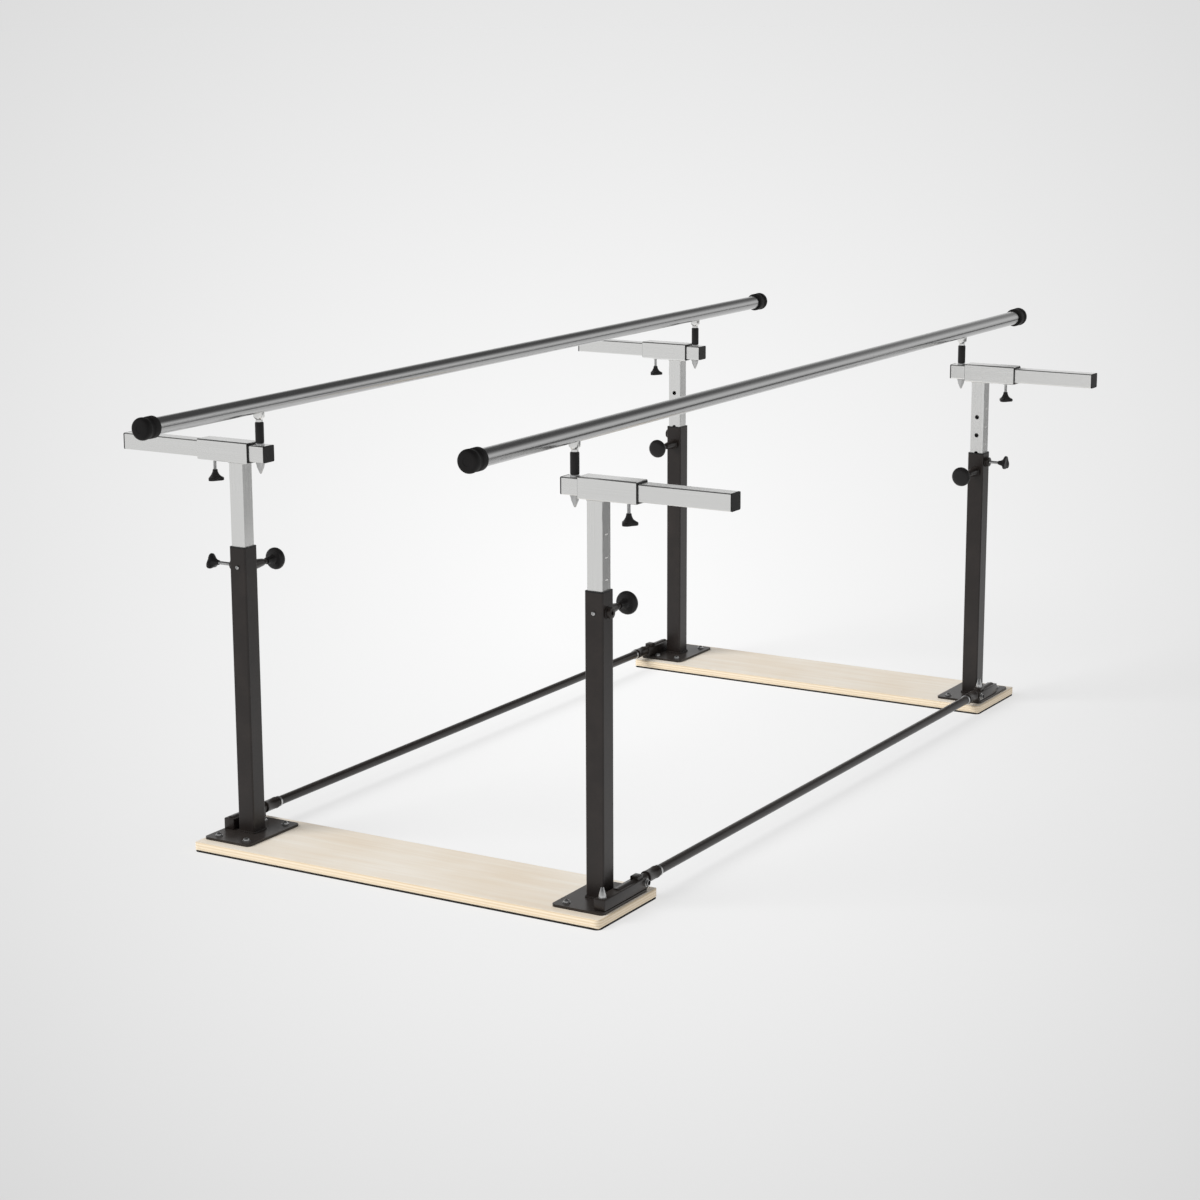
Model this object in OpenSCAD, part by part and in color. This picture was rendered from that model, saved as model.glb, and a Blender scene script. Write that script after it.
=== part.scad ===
// Rehab walking parallel bars, free standing, in millimetres.
// +Z is up, +Y runs along the handrails away from the near end, +X is to the right.
// The origin is on the floor under the middle of the walkway.
// Each post is drawn at its own origin with +X and +Y pointing outboard, then placed and
// mirrored to its corner, so one size changes all four posts alike.

/* [Layout] */
// Distance between the post centres across the walkway
post_dx = 948; // [800:4:1100]
// Distance between the near and the far post centres
post_dy = 2040; // [1600:10:2400]

/* [Boards and mats] */
// How far a board reaches sideways past the post centres
board_over = 73.5; // [70:0.5:120]
// Width of a board along the walkway
board_w = 256; // [230:2:360]
// Thickness of a board
board_t = 20; // [18:1:32]
// Rounding of the long and short board edges
board_edge = 5; // [2:0.5:8]
// Plan radius of the board corners
board_corner = 14; // [8:1:30]
// Thickness of the rubber mat under a board
mat_t = 3; // [2:0.5:6]
// How far the mat stays back from the board edge
mat_inset = 1; // [0.5:0.5:8]

/* [Base plates] */
// Base plate width across the walkway
plate_x = 130; // [124:1:136]
// Base plate length along the walkway
plate_y = 196; // [170:2:220]
// Base plate thickness
plate_t = 6; // [4:0.5:10]
// Plan radius of the plate corners
plate_corner = 10; // [4:1:20]
// Distance of the bolts from the plate edges
bolt_inset = 24; // [14:1:28]
// Shank diameter of the base bolts
bolt_d = 8; // [6:0.5:10]
// Domed head diameter of the base bolts
bolt_head_d = 14; // [12:0.5:16]
// Head height of the base bolts
bolt_head_h = 5; // [3:0.5:7]
// Depth of the base bolts in the board
bolt_bite = 12; // [8:1:14]

/* [Uprights] */
// Width of the inner upright tube
inner_w = 38; // [34:0.5:42]
// Wall of both upright tubes
upright_wall = 2; // [1.5:0.25:3]
// Room between inner and outer upright on each side
guide_gap = 1.5; // [1.2:0.1:2.5]
// Corner radius of the inner upright
inner_r = 3.5; // [3.2:0.1:5]
// Corner radius of the outer upright
outer_r = 4; // [3.5:0.1:6]
// Height of the outer upright above its plate
outer_h = 676; // [560:2:760]
// Size of the weld fillet at the foot of the outer upright
foot_weld = 4; // [2:0.5:6]
// Length of the inner upright
inner_len = 600; // [520:2:640]
// Length of the inner upright that shows above its guide bush
inner_show = 195; // [180:1:230]
// Thickness of the guide bush flange
bush_flange = 3; // [2:0.5:5]
// Length of the guide bush inside the outer upright
bush_skirt = 14; // [8:1:18]
// Thickness of the glide plug in the foot of the inner upright
foot_plug_t = 4; // [3:0.5:8]
// Diameter of the height holes
hole_d = 12; // [10.2:0.1:13]
// Distance between two height holes
hole_pitch = 50; // [40:1:52]
// Head diameter of the round screw on the end face
face_screw_d = 10; // [8:0.5:14]
// Head height of the round screw on the end face
face_screw_h = 4; // [2:0.5:6]

/* [Plungers] */
// Height of the plunger axis below the top of the outer upright
latch_drop = 48; // [40:1:80]
// Diameter of the plunger nose
nose_d = 10; // [8:0.25:10]
// Diameter of the plunger rod
rod_d = 6; // [5:0.25:7]
// Diameter of the barrel at its base flange
barrel_flange_d = 28; // [26:0.5:34]
// Diameter of the barrel where its cone starts
barrel_d = 26; // [23:0.5:26]
// Diameter of the barrel where its cone ends
barrel_tip_d = 16; // [14:0.5:17]
// Length of the barrel cone
barrel_cone = 43.5; // [40:0.5:50]
// Length of the barrel neck under the plunger knob
barrel_neck = 22; // [16:1:24]
// Length of the spring chamber
chamber_len = 30; // [26:1:32]
// Diameter of the spring chamber
chamber_d = 13; // [12:0.25:14]
// How far the plunger is drawn back from the inner upright to park
latch_stroke = 10; // [8:0.5:11]
// Diameter of the plunger knob
latch_knob_d = 52; // [44:1:58]
// Thickness of the plunger knob
latch_knob_t = 20; // [16:1:26]

/* [Clamp knobs] */
// Diameter of the clamp studs
stud_d = 8; // [6:0.5:10]
// Height of the near side clamps below the top of the outer upright
clamp_drop_near = 44; // [26:1:80]
// Height of the far side clamps below the top of the outer upright
clamp_drop_far = 22; // [22:1:80]
// Diameter of the threaded boss
boss_d = 25; // [18:0.5:28]
// Length of the threaded boss
boss_len = 11; // [8:0.5:20]
// Stud length that shows between a boss and its knob when the clamp is tight
side_stud_show = 25.5; // [14:0.5:30]
// How far the near left side clamp is unscrewed
clamp_back = 12; // [2:0.5:12]
// Diameter of the side clamp knobs
side_knob_d = 40; // [34:1:40]
// Length of the side clamp knobs
side_knob_len = 24; // [20:1:32]
// Diameter of the arm clamp knobs
arm_knob_d = 40; // [34:1:44]
// Length of the arm clamp knobs
arm_knob_len = 25; // [20:1:28]
// Stud length that shows between an arm sleeve and its knob
arm_stud_show = 24; // [12:0.5:24]
// Distance of the arm clamp from the outer end of its sleeve
arm_clamp_in = 32.5; // [30:0.5:50]

/* [Arm sleeves] */
// Overall length of a sleeve with both liner lips
sleeve_len = 145; // [130:1:170]
// How far the sleeve centre sits outboard of its post
sleeve_shift = 33.5; // [30:0.5:50]
// Wall of the sleeve tube
sleeve_wall = 2.5; // [2:0.25:4]
// Corner radius of the sleeve tube
sleeve_r = 4; // [3.5:0.1:6]
// Thickness of the sleeve liner
liner_t = 2.5; // [1.5:0.25:4]
// How far a liner lip stands out of its sleeve end
liner_lip = 1.5; // [0.5:0.25:4]
// Length of the liner inside the sleeve
liner_skirt = 20; // [12:1:22]

/* [Arms] */
// Width of the arm tube
arm_w = 38; // [34:0.5:42]
// Wall of the arm tube
arm_wall = 2; // [1.5:0.25:3]
// Corner radius of the arm tube
arm_r = 3.2; // [3:0.1:4.5]
// Overall length of an arm with its end plugs
arm_len = 409; // [340:1:480]
// How far an arm reaches inward past its handrail centre
arm_lap = 25; // [25:0.5:40]
// Thickness of the plug face at an arm end
plug_t = 3; // [2:0.5:6]
// Length of the plug inside the arm
plug_skirt = 12; // [8:1:13]

/* [Handrails] */
// How far a handrail sits inboard of its posts
rail_inset = 58; // [58:1:150]
// Height of the handrail centre above the arm centre
rail_rise = 110; // [96:1:150]
// Diameter of a handrail tube
rail_d = 38; // [32:0.5:42]
// Wall of a handrail tube
rail_wall = 2; // [1.5:0.25:3.5]
// Length of a handrail tube
rail_len = 2850; // [2300:10:3600]
// Overall length of a rail end cap
cap_len = 45; // [38:1:60]
// Thickness of the end cap front wall
cap_wall = 6; // [4:0.5:9]
// Largest diameter of the front bead of an end cap, over the tube
cap_front = 12; // [9:0.5:16]
// Diameter of the cap waist, over the tube
cap_waist = 8; // [5:0.5:8]
// Diameter of the rear collar of an end cap, over the tube
cap_rear = 11; // [9:0.5:14]
// Diameter of the rail pins
pin_d = 12; // [8:0.5:12]
// Height of the saddle under the handrail
saddle_h = 20; // [14:1:26]
// Diameter of the saddle
saddle_d = 26; // [22:0.5:28]
// Diameter of the black spacer
spacer_d = 20; // [18:0.5:20]
// Thickness of the washer between spacer and arm
washer_t = 5; // [2:0.5:8]
// Height of the cone nut under an arm
nut_h = 28; // [25:1:34]

/* [Braces] */
// Diameter of a brace tube
brace_d = 22; // [18:0.5:24]
// Wall of a brace tube
brace_wall = 2; // [1.5:0.25:3]
// Width of a brace socket
socket_w = 28; // [26:0.5:30]
// Height of a brace socket
socket_h = 26; // [22:0.5:34]
// Distance from the end of the near right plate to the closed end of its socket
socket_inset = 10; // [4:1:14]
// How far the closed end of the other sockets reaches past the post centre
short_back = 24; // [22:1:50]
// How far the brace tube reaches past the post centre
tube_back = 16; // [8:1:18]
// Distance from the post centre to the open end of a socket
socket_y1 = 100; // [96:1:130]
// Distance from the post centre to the cap block on a socket
block_y0 = 60; // [50:1:70]
// Width of the cap block
block_w = 20; // [16:1:26]
// Length of the cap block
block_len = 24; // [18:1:30]
// Height of the cap block above the socket
block_h = 9; // [6:1:16]
// Height of the bright cone nut on a socket
cone_h = 24; // [20:1:32]
// Diameter of the collar on a brace
collar_d = 28; // [26:0.5:34]
// Length of the collar on a brace
collar_len = 46; // [30:1:70]
// Gap between the socket and the collar
collar_gap = 10; // [6:1:40]

/* [Hidden] */
$fn = 48;
// Running clearance on each side of a sliding or turning fit
slide_gap = 0.1;
// Gap of a part that is pressed or glued in place
seat_gap = 0.05;
// Clearance between a clamp or pin tip and the tube that it will press on
tip_gap = 0.4;

// Floor to plate top, and the upright widths that follow from the inner tube
floor_z = mat_t + board_t;
base_z = floor_z + plate_t;
outer_bore = inner_w + 2 * guide_gap;
outer_w = outer_bore + 2 * upright_wall;
outer_top = base_z + outer_h;
bush_top = outer_top + bush_flange;
inner_top = bush_top + inner_show;
latch_z = outer_top - latch_drop;

// Arm, sleeve and rail heights and places, measured from the post centre
sleeve_bore = arm_w + 2 * liner_t;
sleeve_w = sleeve_bore + 2 * sleeve_wall;
arm_z = inner_top + sleeve_w / 2;
rail_z = arm_z + rail_rise;
sleeve_x0 = sleeve_shift - sleeve_len / 2;
sleeve_x1 = sleeve_shift + sleeve_len / 2;
arm_x0 = -rail_inset - arm_lap;
arm_x1 = arm_x0 + arm_len;
arm_clamp_x = sleeve_x1 - arm_clamp_in;

// Plunger stations, measured from the post centre toward the middle
nose_tip = inner_w / 2 + tip_gap;
barrel_s0 = outer_w / 2;
barrel_flange_t = 6;
spigot_r = 8;
chamber_s0 = barrel_s0 + barrel_flange_t + 3.5;
chamber_s1 = chamber_s0 + chamber_len;
cone_s0 = barrel_s0 + barrel_flange_t;
cone_s1 = cone_s0 + barrel_cone;
neck_s1 = cone_s1 + barrel_neck;
shoulder_s0 = chamber_s0 + 1 + latch_stroke;
shoulder_t = 3;
hub_s0 = cone_s1 + 2 + latch_stroke;
latch_knob_s0 = neck_s1 + latch_stroke + 5.5;
neck_r = rod_d / 2 + 2.8;

// Brace and socket places, measured from the post centre
brace_x = plate_x / 2 - socket_w / 2 - 1;
brace_z = base_z + 18.5;
long_back = plate_y / 2 - socket_inset;
bolt_y = plate_y / 2 - bolt_inset;
cone_y = -block_y0 - block_len / 2;
socket_gap_x = brace_x - socket_w / 2;
collar_y0 = -socket_y1 - collar_gap;
ring_gap = 6;
ring_t = 6;

// The fourth base bolt stands beside the brace socket
washer_r = bolt_head_d / 2 + 2;
bolt_bed_t = 1.5;
inner_bolt_x = socket_gap_x - washer_r - 3;

// Shared helpers

// Moves a piece drawn at a post's own origin to the post of side sx and end sy
module at_post(sx, sy)
  translate([sx * post_dx / 2, sy * post_dy / 2, 0])
    mirror([sx < 0 ? 1 : 0, 0, 0])
      mirror([0, sy < 0 ? 1 : 0, 0])
        children();

// Both posts of one side
module at_side(sx)
  for (sy = [-1, 1]) at_post(sx, sy) children();

// All four posts
module at_posts()
  for (sx = [-1, 1]) at_side(sx) children();

// Rectangle with rounded corners, centred
module round_rect(w, h, r) {
  square([w - 2 * r, h], center = true);
  square([w, h - 2 * r], center = true);
  for (a = [-1, 1], b = [-1, 1]) translate([a * (w / 2 - r), b * (h / 2 - r)]) circle(r = r, $fn = 32);
}

// Upright square tube from z = 0, w wide, with wall t and corner radius r
module square_tube(w, t, r, h)
  linear_extrude(height = h) difference() {
    round_rect(w, w, r);
    round_rect(w - 2 * t, w - 2 * t, max(r - t, 0.5));
  }

// Straight lobed prism of a clamp knob with rounded rims, from z = 0
module lobes(d, h) {
  lobe_r = d * 0.22;
  rim = 2;
  intersection() {
    translate([0, 0, -1]) linear_extrude(height = h + 2) {
      circle(r = d * 0.34);
      for (a = [90, 210, 330]) rotate(a) translate([d / 2 - lobe_r + 1, 0]) circle(r = lobe_r, $fn = 32);
    }
    rotate_extrude() polygon([
      [0, 0], [d / 2 - rim, 0], [d / 2, rim], [d / 2, h - rim], [d / 2 - rim, h], [0, h]]);
  }
}

// Clamp knob with its flared hub facing z = 0 and its lobes at the far end
module clamp_knob(d, len) {
  hub_len = len * 0.74;
  hub_r = stud_d / 2 + 1.5;
  translate([0, 0, hub_len]) lobes(d, len - hub_len);
  rotate_extrude() polygon([
    [0, 0], [hub_r, 0], [hub_r + 0.8, hub_len * 0.28], [hub_r + 3, hub_len * 0.55],
    [d * 0.26, hub_len * 0.82], [d * 0.32, hub_len + 1], [0, hub_len + 1]]);
}

// Boards and mats

module board(sy)
  color("BurlyWood") translate([0, sy * post_dy / 2, mat_t]) difference() {
    intersection() {
      linear_extrude(height = board_t) round_rect(post_dx + 2 * board_over, board_w, board_corner);
      translate([0, board_w, board_t / 2]) rotate([90, 0, 0]) linear_extrude(height = 2 * board_w)
        round_rect(post_dx + 2 * board_over, board_t, board_edge);
      translate([-post_dx, 0, board_t / 2]) rotate([90, 0, 90]) linear_extrude(height = 2 * post_dx)
        round_rect(board_w, board_t, board_edge);
    }
    for (sx = [-1, 1]) translate([sx * post_dx / 2, 0, 0])
      mirror([sx < 0 ? 1 : 0, 0, 0]) mirror([0, sy < 0 ? 1 : 0, 0])
        at_bolts(long_socket(sx, sy)) translate([0, 0, board_t - bolt_bite - 1])
          cylinder(d = bolt_d + 0.4, h = bolt_bite + 2);
  }

module mats()
  color("DimGray") for (sy = [-1, 1]) translate([0, sy * post_dy / 2, 0])
    linear_extrude(height = mat_t) round_rect(
      post_dx + 2 * (board_over - mat_inset), board_w - 2 * mat_inset, board_corner - mat_inset);

// Base plates and their bolts

// The near right socket runs to the front of its plate, with a cone nut on its bolt
function long_socket(sx, sy) = sx > 0 && sy < 0;

module at_flat_bolts(long) {
  bx = plate_x / 2 - bolt_inset - 1;
  for (p = [[-bx, -bolt_y], [-bx, bolt_y], [inner_bolt_x, -bolt_y]]) translate([p[0], p[1], 0]) children();
  if (!long) translate([bx, bolt_y, 0]) children();
}

module at_bolts(long) {
  at_flat_bolts(long) children();
  if (long) translate([brace_x, bolt_y, 0]) children();
}

module base_plate(sx, sy)
  color("DarkSlateGray") at_post(sx, sy) translate([0, 0, floor_z]) difference() {
    linear_extrude(height = plate_t) round_rect(plate_x, plate_y, plate_corner);
    at_bolts(long_socket(sx, sy)) translate([0, 0, -1]) cylinder(d = bolt_d + 0.4, h = plate_t + 2);
  }

// Bolt with washer and domed socket head, its washer resting on the plate top
module base_bolt() {
  head_z = bolt_bed_t + bolt_head_h;
  difference() {
    rotate_extrude() polygon([
      [0, -plate_t - bolt_bite], [bolt_d / 2, -plate_t - bolt_bite], [bolt_d / 2, 0],
      [washer_r, 0], [washer_r, bolt_bed_t], [bolt_head_d / 2, bolt_bed_t],
      [bolt_head_d / 2, bolt_bed_t + bolt_head_h * 0.35],
      [bolt_head_d * 0.40, bolt_bed_t + bolt_head_h * 0.80],
      [bolt_head_d * 0.25, head_z], [0, head_z]]);
    translate([0, 0, head_z - 2]) cylinder(r = bolt_head_d * 0.20, h = 3, $fn = 6);
  }
}

// Stud from z0 up to a washer and cone nut that rest on the height z1
module cone_stud(z0, z1) {
  rotate_extrude() polygon([
    [0, z0], [bolt_d / 2, z0], [bolt_d / 2, z1], [washer_r, z1], [washer_r, z1 + bolt_bed_t],
    [bolt_head_d / 2 + 1, z1 + bolt_bed_t], [bolt_head_d / 2 + 1, z1 + bolt_bed_t + 5],
    [bolt_head_d * 0.2, z1 + cone_h], [0, z1 + cone_h]]);
}

module plate_bolts()
  color("Silver") for (sx = [-1, 1]) for (sy = [-1, 1]) at_post(sx, sy) translate([0, 0, base_z]) {
    at_flat_bolts(long_socket(sx, sy)) base_bolt();
    if (long_socket(sx, sy)) translate([brace_x, bolt_y, 0]) cone_stud(-plate_t - bolt_bite, socket_h);
  }

// Outer uprights with their fixed fittings

module outer_upright(sx, sy, drop)
  color("DimGray") at_post(sx, sy) difference() {
    union() {
      translate([0, 0, base_z]) square_tube(outer_w, upright_wall, outer_r, outer_h);
      translate([0, 0, base_z]) difference() {
        linear_extrude(height = foot_weld, scale = outer_w / (outer_w + 2 * foot_weld))
          round_rect(outer_w + 2 * foot_weld, outer_w + 2 * foot_weld, outer_r + foot_weld);
        translate([0, 0, -1]) linear_extrude(height = foot_weld + 2)
          round_rect(outer_w - upright_wall, outer_w - upright_wall, outer_r - upright_wall / 2);
      }
    }
    // Hole for the plunger barrel
    translate([0, 0, latch_z]) rotate([90, 0, 0]) cylinder(r = spigot_r + seat_gap, h = outer_w);
    // Hole for the side clamp stud
    translate([0, 0, outer_top - drop]) rotate([0, 90, 0])
      cylinder(d = stud_d + 2 * slide_gap, h = outer_w);
    // Hole for the round screw
    translate([0, 0, latch_z + 4]) rotate([-90, 0, 0]) cylinder(d = face_screw_d / 2 + 0.2, h = outer_w);
  }

module bushes()
  color("Black") at_posts() {
    translate([0, 0, outer_top]) linear_extrude(height = bush_flange) difference() {
      round_rect(outer_w, outer_w, outer_r);
      round_rect(inner_w + 2 * slide_gap, inner_w + 2 * slide_gap, inner_r - 0.2);
    }
    translate([0, 0, outer_top - bush_skirt]) linear_extrude(height = bush_skirt + 0.01) difference() {
      round_rect(outer_bore - 2 * seat_gap, outer_bore - 2 * seat_gap, outer_r - upright_wall + 0.2);
      round_rect(inner_w + 2 * slide_gap, inner_w + 2 * slide_gap, inner_r - 0.2);
    }
  }

module face_screws()
  color("Gray") at_posts() translate([0, outer_w / 2, latch_z + 4]) rotate([-90, 0, 0])
    rotate_extrude() polygon([
      [0, -upright_wall + 0.2], [face_screw_d / 4, -upright_wall + 0.2], [face_screw_d / 4, 0],
      [face_screw_d / 2, 0], [face_screw_d / 2, face_screw_h * 0.4],
      [face_screw_d * 0.38, face_screw_h * 0.85], [face_screw_d * 0.2, face_screw_h], [0, face_screw_h]]);

module boss(drop)
  translate([outer_w / 2, 0, outer_top - drop]) rotate([0, 90, 0]) difference() {
    cylinder(d = boss_d, h = boss_len);
    translate([0, 0, -1]) cylinder(d = stud_d + 2 * slide_gap, h = boss_len + 2);
  }

module bosses()
  color("DimGray") for (sx = [-1, 1]) {
    at_post(sx, -1) boss(clamp_drop_near);
    at_post(sx, 1) boss(clamp_drop_far);
  }

// Plungers, drawn along +Z from the post centre and turned toward the middle

module to_latch() translate([0, 0, latch_z]) rotate([90, 0, 0]) children();

module barrel()
  rotate_extrude() difference() {
    polygon([
      [0, barrel_s0 - upright_wall + 0.3], [spigot_r, barrel_s0 - upright_wall + 0.3],
      [spigot_r, barrel_s0], [barrel_flange_d / 2, barrel_s0], [barrel_flange_d / 2, cone_s0],
      [barrel_d / 2, cone_s0], [barrel_tip_d / 2, cone_s1], [neck_r, cone_s1],
      [neck_r, neck_s1], [0, neck_s1]]);
    translate([-1, 0]) square([1 + nose_d / 2 + slide_gap, chamber_s0 + 1]);
    translate([-1, chamber_s0]) square([1 + chamber_d / 2, chamber_len]);
    translate([-1, chamber_s0 + 1]) square([1 + rod_d / 2 + slide_gap, neck_s1]);
  }

module barrels() color("DimGray") at_posts() to_latch() barrel();

module springs()
  color("Silver") at_posts() to_latch() rotate_extrude()
    translate([rod_d / 2 + 0.3, shoulder_s0 + shoulder_t + 0.3])
      square([(chamber_d - rod_d) / 2 - 0.6, chamber_s1 - shoulder_s0 - shoulder_t - 0.3]);

module plunger(sx, sy) {
  kr = latch_knob_d / 2;
  k0 = latch_knob_s0;
  kt = latch_knob_t;
  hub_r = neck_r + 2.3;
  color("Black") at_post(sx, sy) to_latch() rotate_extrude() difference() {
    polygon([
      [0, nose_tip], [nose_d / 2 - 1, nose_tip], [nose_d / 2, nose_tip + 1],
      [nose_d / 2, shoulder_s0], [chamber_d / 2 - 0.3, shoulder_s0],
      [chamber_d / 2 - 0.3, shoulder_s0 + shoulder_t], [rod_d / 2, shoulder_s0 + shoulder_t],
      [rod_d / 2, hub_s0], [hub_r, hub_s0], [hub_r + 0.4, hub_s0 + 12],
      [hub_r + 2, k0 - 1.5], [kr * 0.6, k0], [kr * 0.85, k0 + kt * 0.1],
      [kr * 0.97, k0 + kt * 0.26], [kr, k0 + kt * 0.42], [kr * 0.97, k0 + kt * 0.58],
      [kr * 0.87, k0 + kt * 0.76], [kr * 0.68, k0 + kt * 0.9], [kr * 0.4, k0 + kt * 0.98],
      [0, k0 + kt]]);
    translate([rod_d / 2, hub_s0 - 1])
      square([neck_r + 0.3 - rod_d / 2, neck_s1 - cone_s1 + latch_stroke - 2]);
  }
}

// Side clamps and arm clamps

module side_clamp(sx, sy, drop, back) {
  knob_s = outer_w / 2 + boss_len + side_stud_show + back;
  tip = inner_w / 2 + tip_gap + back;
  color("Black") at_post(sx, sy) translate([0, 0, outer_top - drop]) rotate([0, 90, 0]) {
    translate([0, 0, tip]) cylinder(d = stud_d, h = knob_s - tip + 1);
    translate([0, 0, knob_s]) clamp_knob(side_knob_d, side_knob_len);
  }
}

module arm_clamp(sx, sy) {
  tip_z = arm_z - arm_w / 2 - tip_gap;
  knob_z = arm_z - sleeve_w / 2 - arm_stud_show;
  color("Black") at_post(sx, sy) translate([arm_clamp_x, 0, 0]) {
    translate([0, 0, knob_z - 1]) cylinder(d = stud_d, h = tip_z - knob_z + 1);
    translate([0, 0, knob_z]) rotate([180, 0, 0]) clamp_knob(arm_knob_d, arm_knob_len);
  }
}

// Braces

module brace(sx)
  color("DimGray") translate([sx * (post_dx / 2 + brace_x), 0, brace_z]) rotate([90, 0, 0])
    difference() {
      cylinder(d = brace_d, h = post_dy + 2 * (tube_back - 1), center = true);
      cylinder(d = brace_d - 2 * brace_wall, h = post_dy + 2 * tube_back, center = true);
    }

// Only the far right socket has a cone stud on its block
function cone_block(sx, sy) = sx > 0 && sy > 0;

module socket(sx, sy) {
  back = long_socket(sx, sy) ? long_back : short_back;
  difference() {
    union() {
      translate([brace_x - socket_w / 2, -socket_y1, base_z])
        cube([socket_w, socket_y1 + back, socket_h]);
      // Cap block over the tube
      translate([brace_x - block_w / 2, -block_y0 - block_len, base_z + socket_h - 1])
        cube([block_w, block_len, block_h + 1]);
    }
    translate([brace_x, tube_back, brace_z]) rotate([90, 0, 0])
      cylinder(d = brace_d, h = socket_y1 + tube_back + 1);
    // Hole for the bolt that holds the long socket and its plate to the board
    if (long_socket(sx, sy)) translate([brace_x, bolt_y, base_z - 1])
      cylinder(d = bolt_d + 0.4, h = socket_h + 2);
    // Hole for the cone stud in the cap block
    if (cone_block(sx, sy)) translate([brace_x, cone_y, brace_z])
      cylinder(d = bolt_d + 0.4, h = socket_h + block_h);
    // Hole for the clamp bolt
    translate([brace_x, -socket_y1 + 9, brace_z - 4]) rotate([0, 90, 0]) cylinder(d = 8.4, h = socket_w);
  }
}

module sockets()
  color("DimGray") for (sx = [-1, 1]) for (sy = [-1, 1]) at_post(sx, sy) socket(sx, sy);

module collar_ring(y0, len, d)
  translate([brace_x, y0, brace_z]) rotate([90, 0, 0]) difference() {
    cylinder(d = d, h = len);
    translate([0, 0, -1]) cylinder(d = brace_d, h = len + 2);
  }

module collars() color("DimGray") at_posts() collar_ring(collar_y0, collar_len, collar_d);

module fittings()
  color("Silver") for (sx = [-1, 1]) for (sy = [-1, 1]) at_post(sx, sy) {
    if (cone_block(sx, sy)) translate([brace_x, cone_y, base_z])
      cone_stud(brace_z - base_z + brace_d / 2 + 0.5, socket_h + block_h);
    collar_ring(collar_y0 - collar_len - ring_gap, ring_t, brace_d + 4);
    translate([brace_x + socket_w / 2, -socket_y1 + 9, brace_z - 4]) rotate([0, 90, 0]) {
      cylinder(r = 9, h = 1.5);
      translate([0, 0, 1.5]) cylinder(r = 7.5, h = 5.3, $fn = 6);
      translate([0, 0, brace_d / 2 - socket_w / 2]) cylinder(d = 8, h = socket_w / 2 - brace_d / 2 + 1);
    }
  }

// Inner uprights, sleeves and their glides

module inner_upright(sx, sy)
  color("LightGray") at_post(sx, sy) difference() {
    translate([0, 0, inner_top - inner_len]) square_tube(inner_w, upright_wall, inner_r, inner_len);
    for (k = [-2:3]) translate([0, 0, latch_z + k * hole_pitch]) rotate([90, 0, 0])
      cylinder(d = hole_d, h = inner_w);
  }

module arm_sleeve(sx, sy)
  color("DimGray") at_post(sx, sy) difference() {
    union() {
      translate([sleeve_x0 + liner_lip, 0, arm_z]) rotate([90, 0, 90])
        square_tube(sleeve_w, sleeve_wall, sleeve_r, sleeve_len - 2 * liner_lip);
      translate([arm_clamp_x, 0, arm_z - sleeve_w / 2 - 3]) cylinder(d = stud_d + 6, h = 4);
    }
    translate([arm_clamp_x, 0, arm_z - sleeve_w / 2 - 4])
      cylinder(d = stud_d + 2 * slide_gap, h = sleeve_wall + 6);
  }

// Liner with its lip on the outside at x = 0 and its skirt running to +X
module liner() rotate([90, 0, 90]) {
  linear_extrude(height = liner_lip) difference() {
    round_rect(sleeve_bore + 1.2, sleeve_bore + 1.2, sleeve_r - 1);
    round_rect(arm_w + 2 * slide_gap, arm_w + 2 * slide_gap, arm_r - 0.2);
  }
  translate([0, 0, liner_lip - 0.01]) linear_extrude(height = liner_skirt) difference() {
    round_rect(sleeve_bore - 2 * seat_gap, sleeve_bore - 2 * seat_gap, sleeve_r - sleeve_wall + 0.3);
    round_rect(arm_w + 2 * slide_gap, arm_w + 2 * slide_gap, arm_r - 0.2);
  }
}

module glides(sx)
  color("Black") at_side(sx) {
    translate([sleeve_x0, 0, arm_z]) liner();
    translate([sleeve_x1, 0, arm_z]) mirror([1, 0, 0]) liner();
    // Glide plug in the foot of the inner upright
    translate([0, 0, inner_top - inner_len - foot_plug_t]) {
      linear_extrude(height = foot_plug_t)
        round_rect(outer_bore - 2 * slide_gap, outer_bore - 2 * slide_gap, outer_r - upright_wall + 0.5);
      linear_extrude(height = foot_plug_t + 14) round_rect(
        inner_w - 2 * upright_wall - 2 * seat_gap, inner_w - 2 * upright_wall - 2 * seat_gap,
        inner_r - upright_wall + 0.3);
    }
  }

// Arms with plugs

module arm_tube(sx, sy)
  color("LightGray") at_post(sx, sy) difference() {
    translate([arm_x0 + plug_t, 0, arm_z]) rotate([90, 0, 90])
      square_tube(arm_w, arm_wall, arm_r, arm_len - 2 * plug_t);
    translate([-rail_inset, 0, arm_z]) cylinder(d = pin_d + 0.2, h = 2 * arm_w, center = true);
  }

module arm_plug() rotate([90, 0, 90]) {
  linear_extrude(height = plug_t) round_rect(arm_w, arm_w, arm_r);
  linear_extrude(height = plug_t + plug_skirt) round_rect(
    arm_w - 2 * arm_wall - 2 * seat_gap, arm_w - 2 * arm_wall - 2 * seat_gap, arm_r - arm_wall + 0.3);
}

module arm_plugs(sx)
  color("Black") at_side(sx) {
    translate([arm_x0, 0, arm_z]) arm_plug();
    translate([arm_x1, 0, arm_z]) mirror([1, 0, 0]) arm_plug();
  }

// Handrails

module at_rail(sx) translate([sx * (post_dx / 2 - rail_inset), 0, rail_z]) children();

module handrail(sx)
  color("LightGray") difference() {
    at_rail(sx) rotate([90, 0, 0]) difference() {
      cylinder(d = rail_d, h = rail_len, center = true);
      cylinder(d = rail_d - 2 * rail_wall, h = rail_len + 2, center = true);
    }
    at_side(sx) translate([-rail_inset, 0, rail_z - rail_d]) cylinder(d = pin_d + 0.2, h = rail_d);
  }

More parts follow.
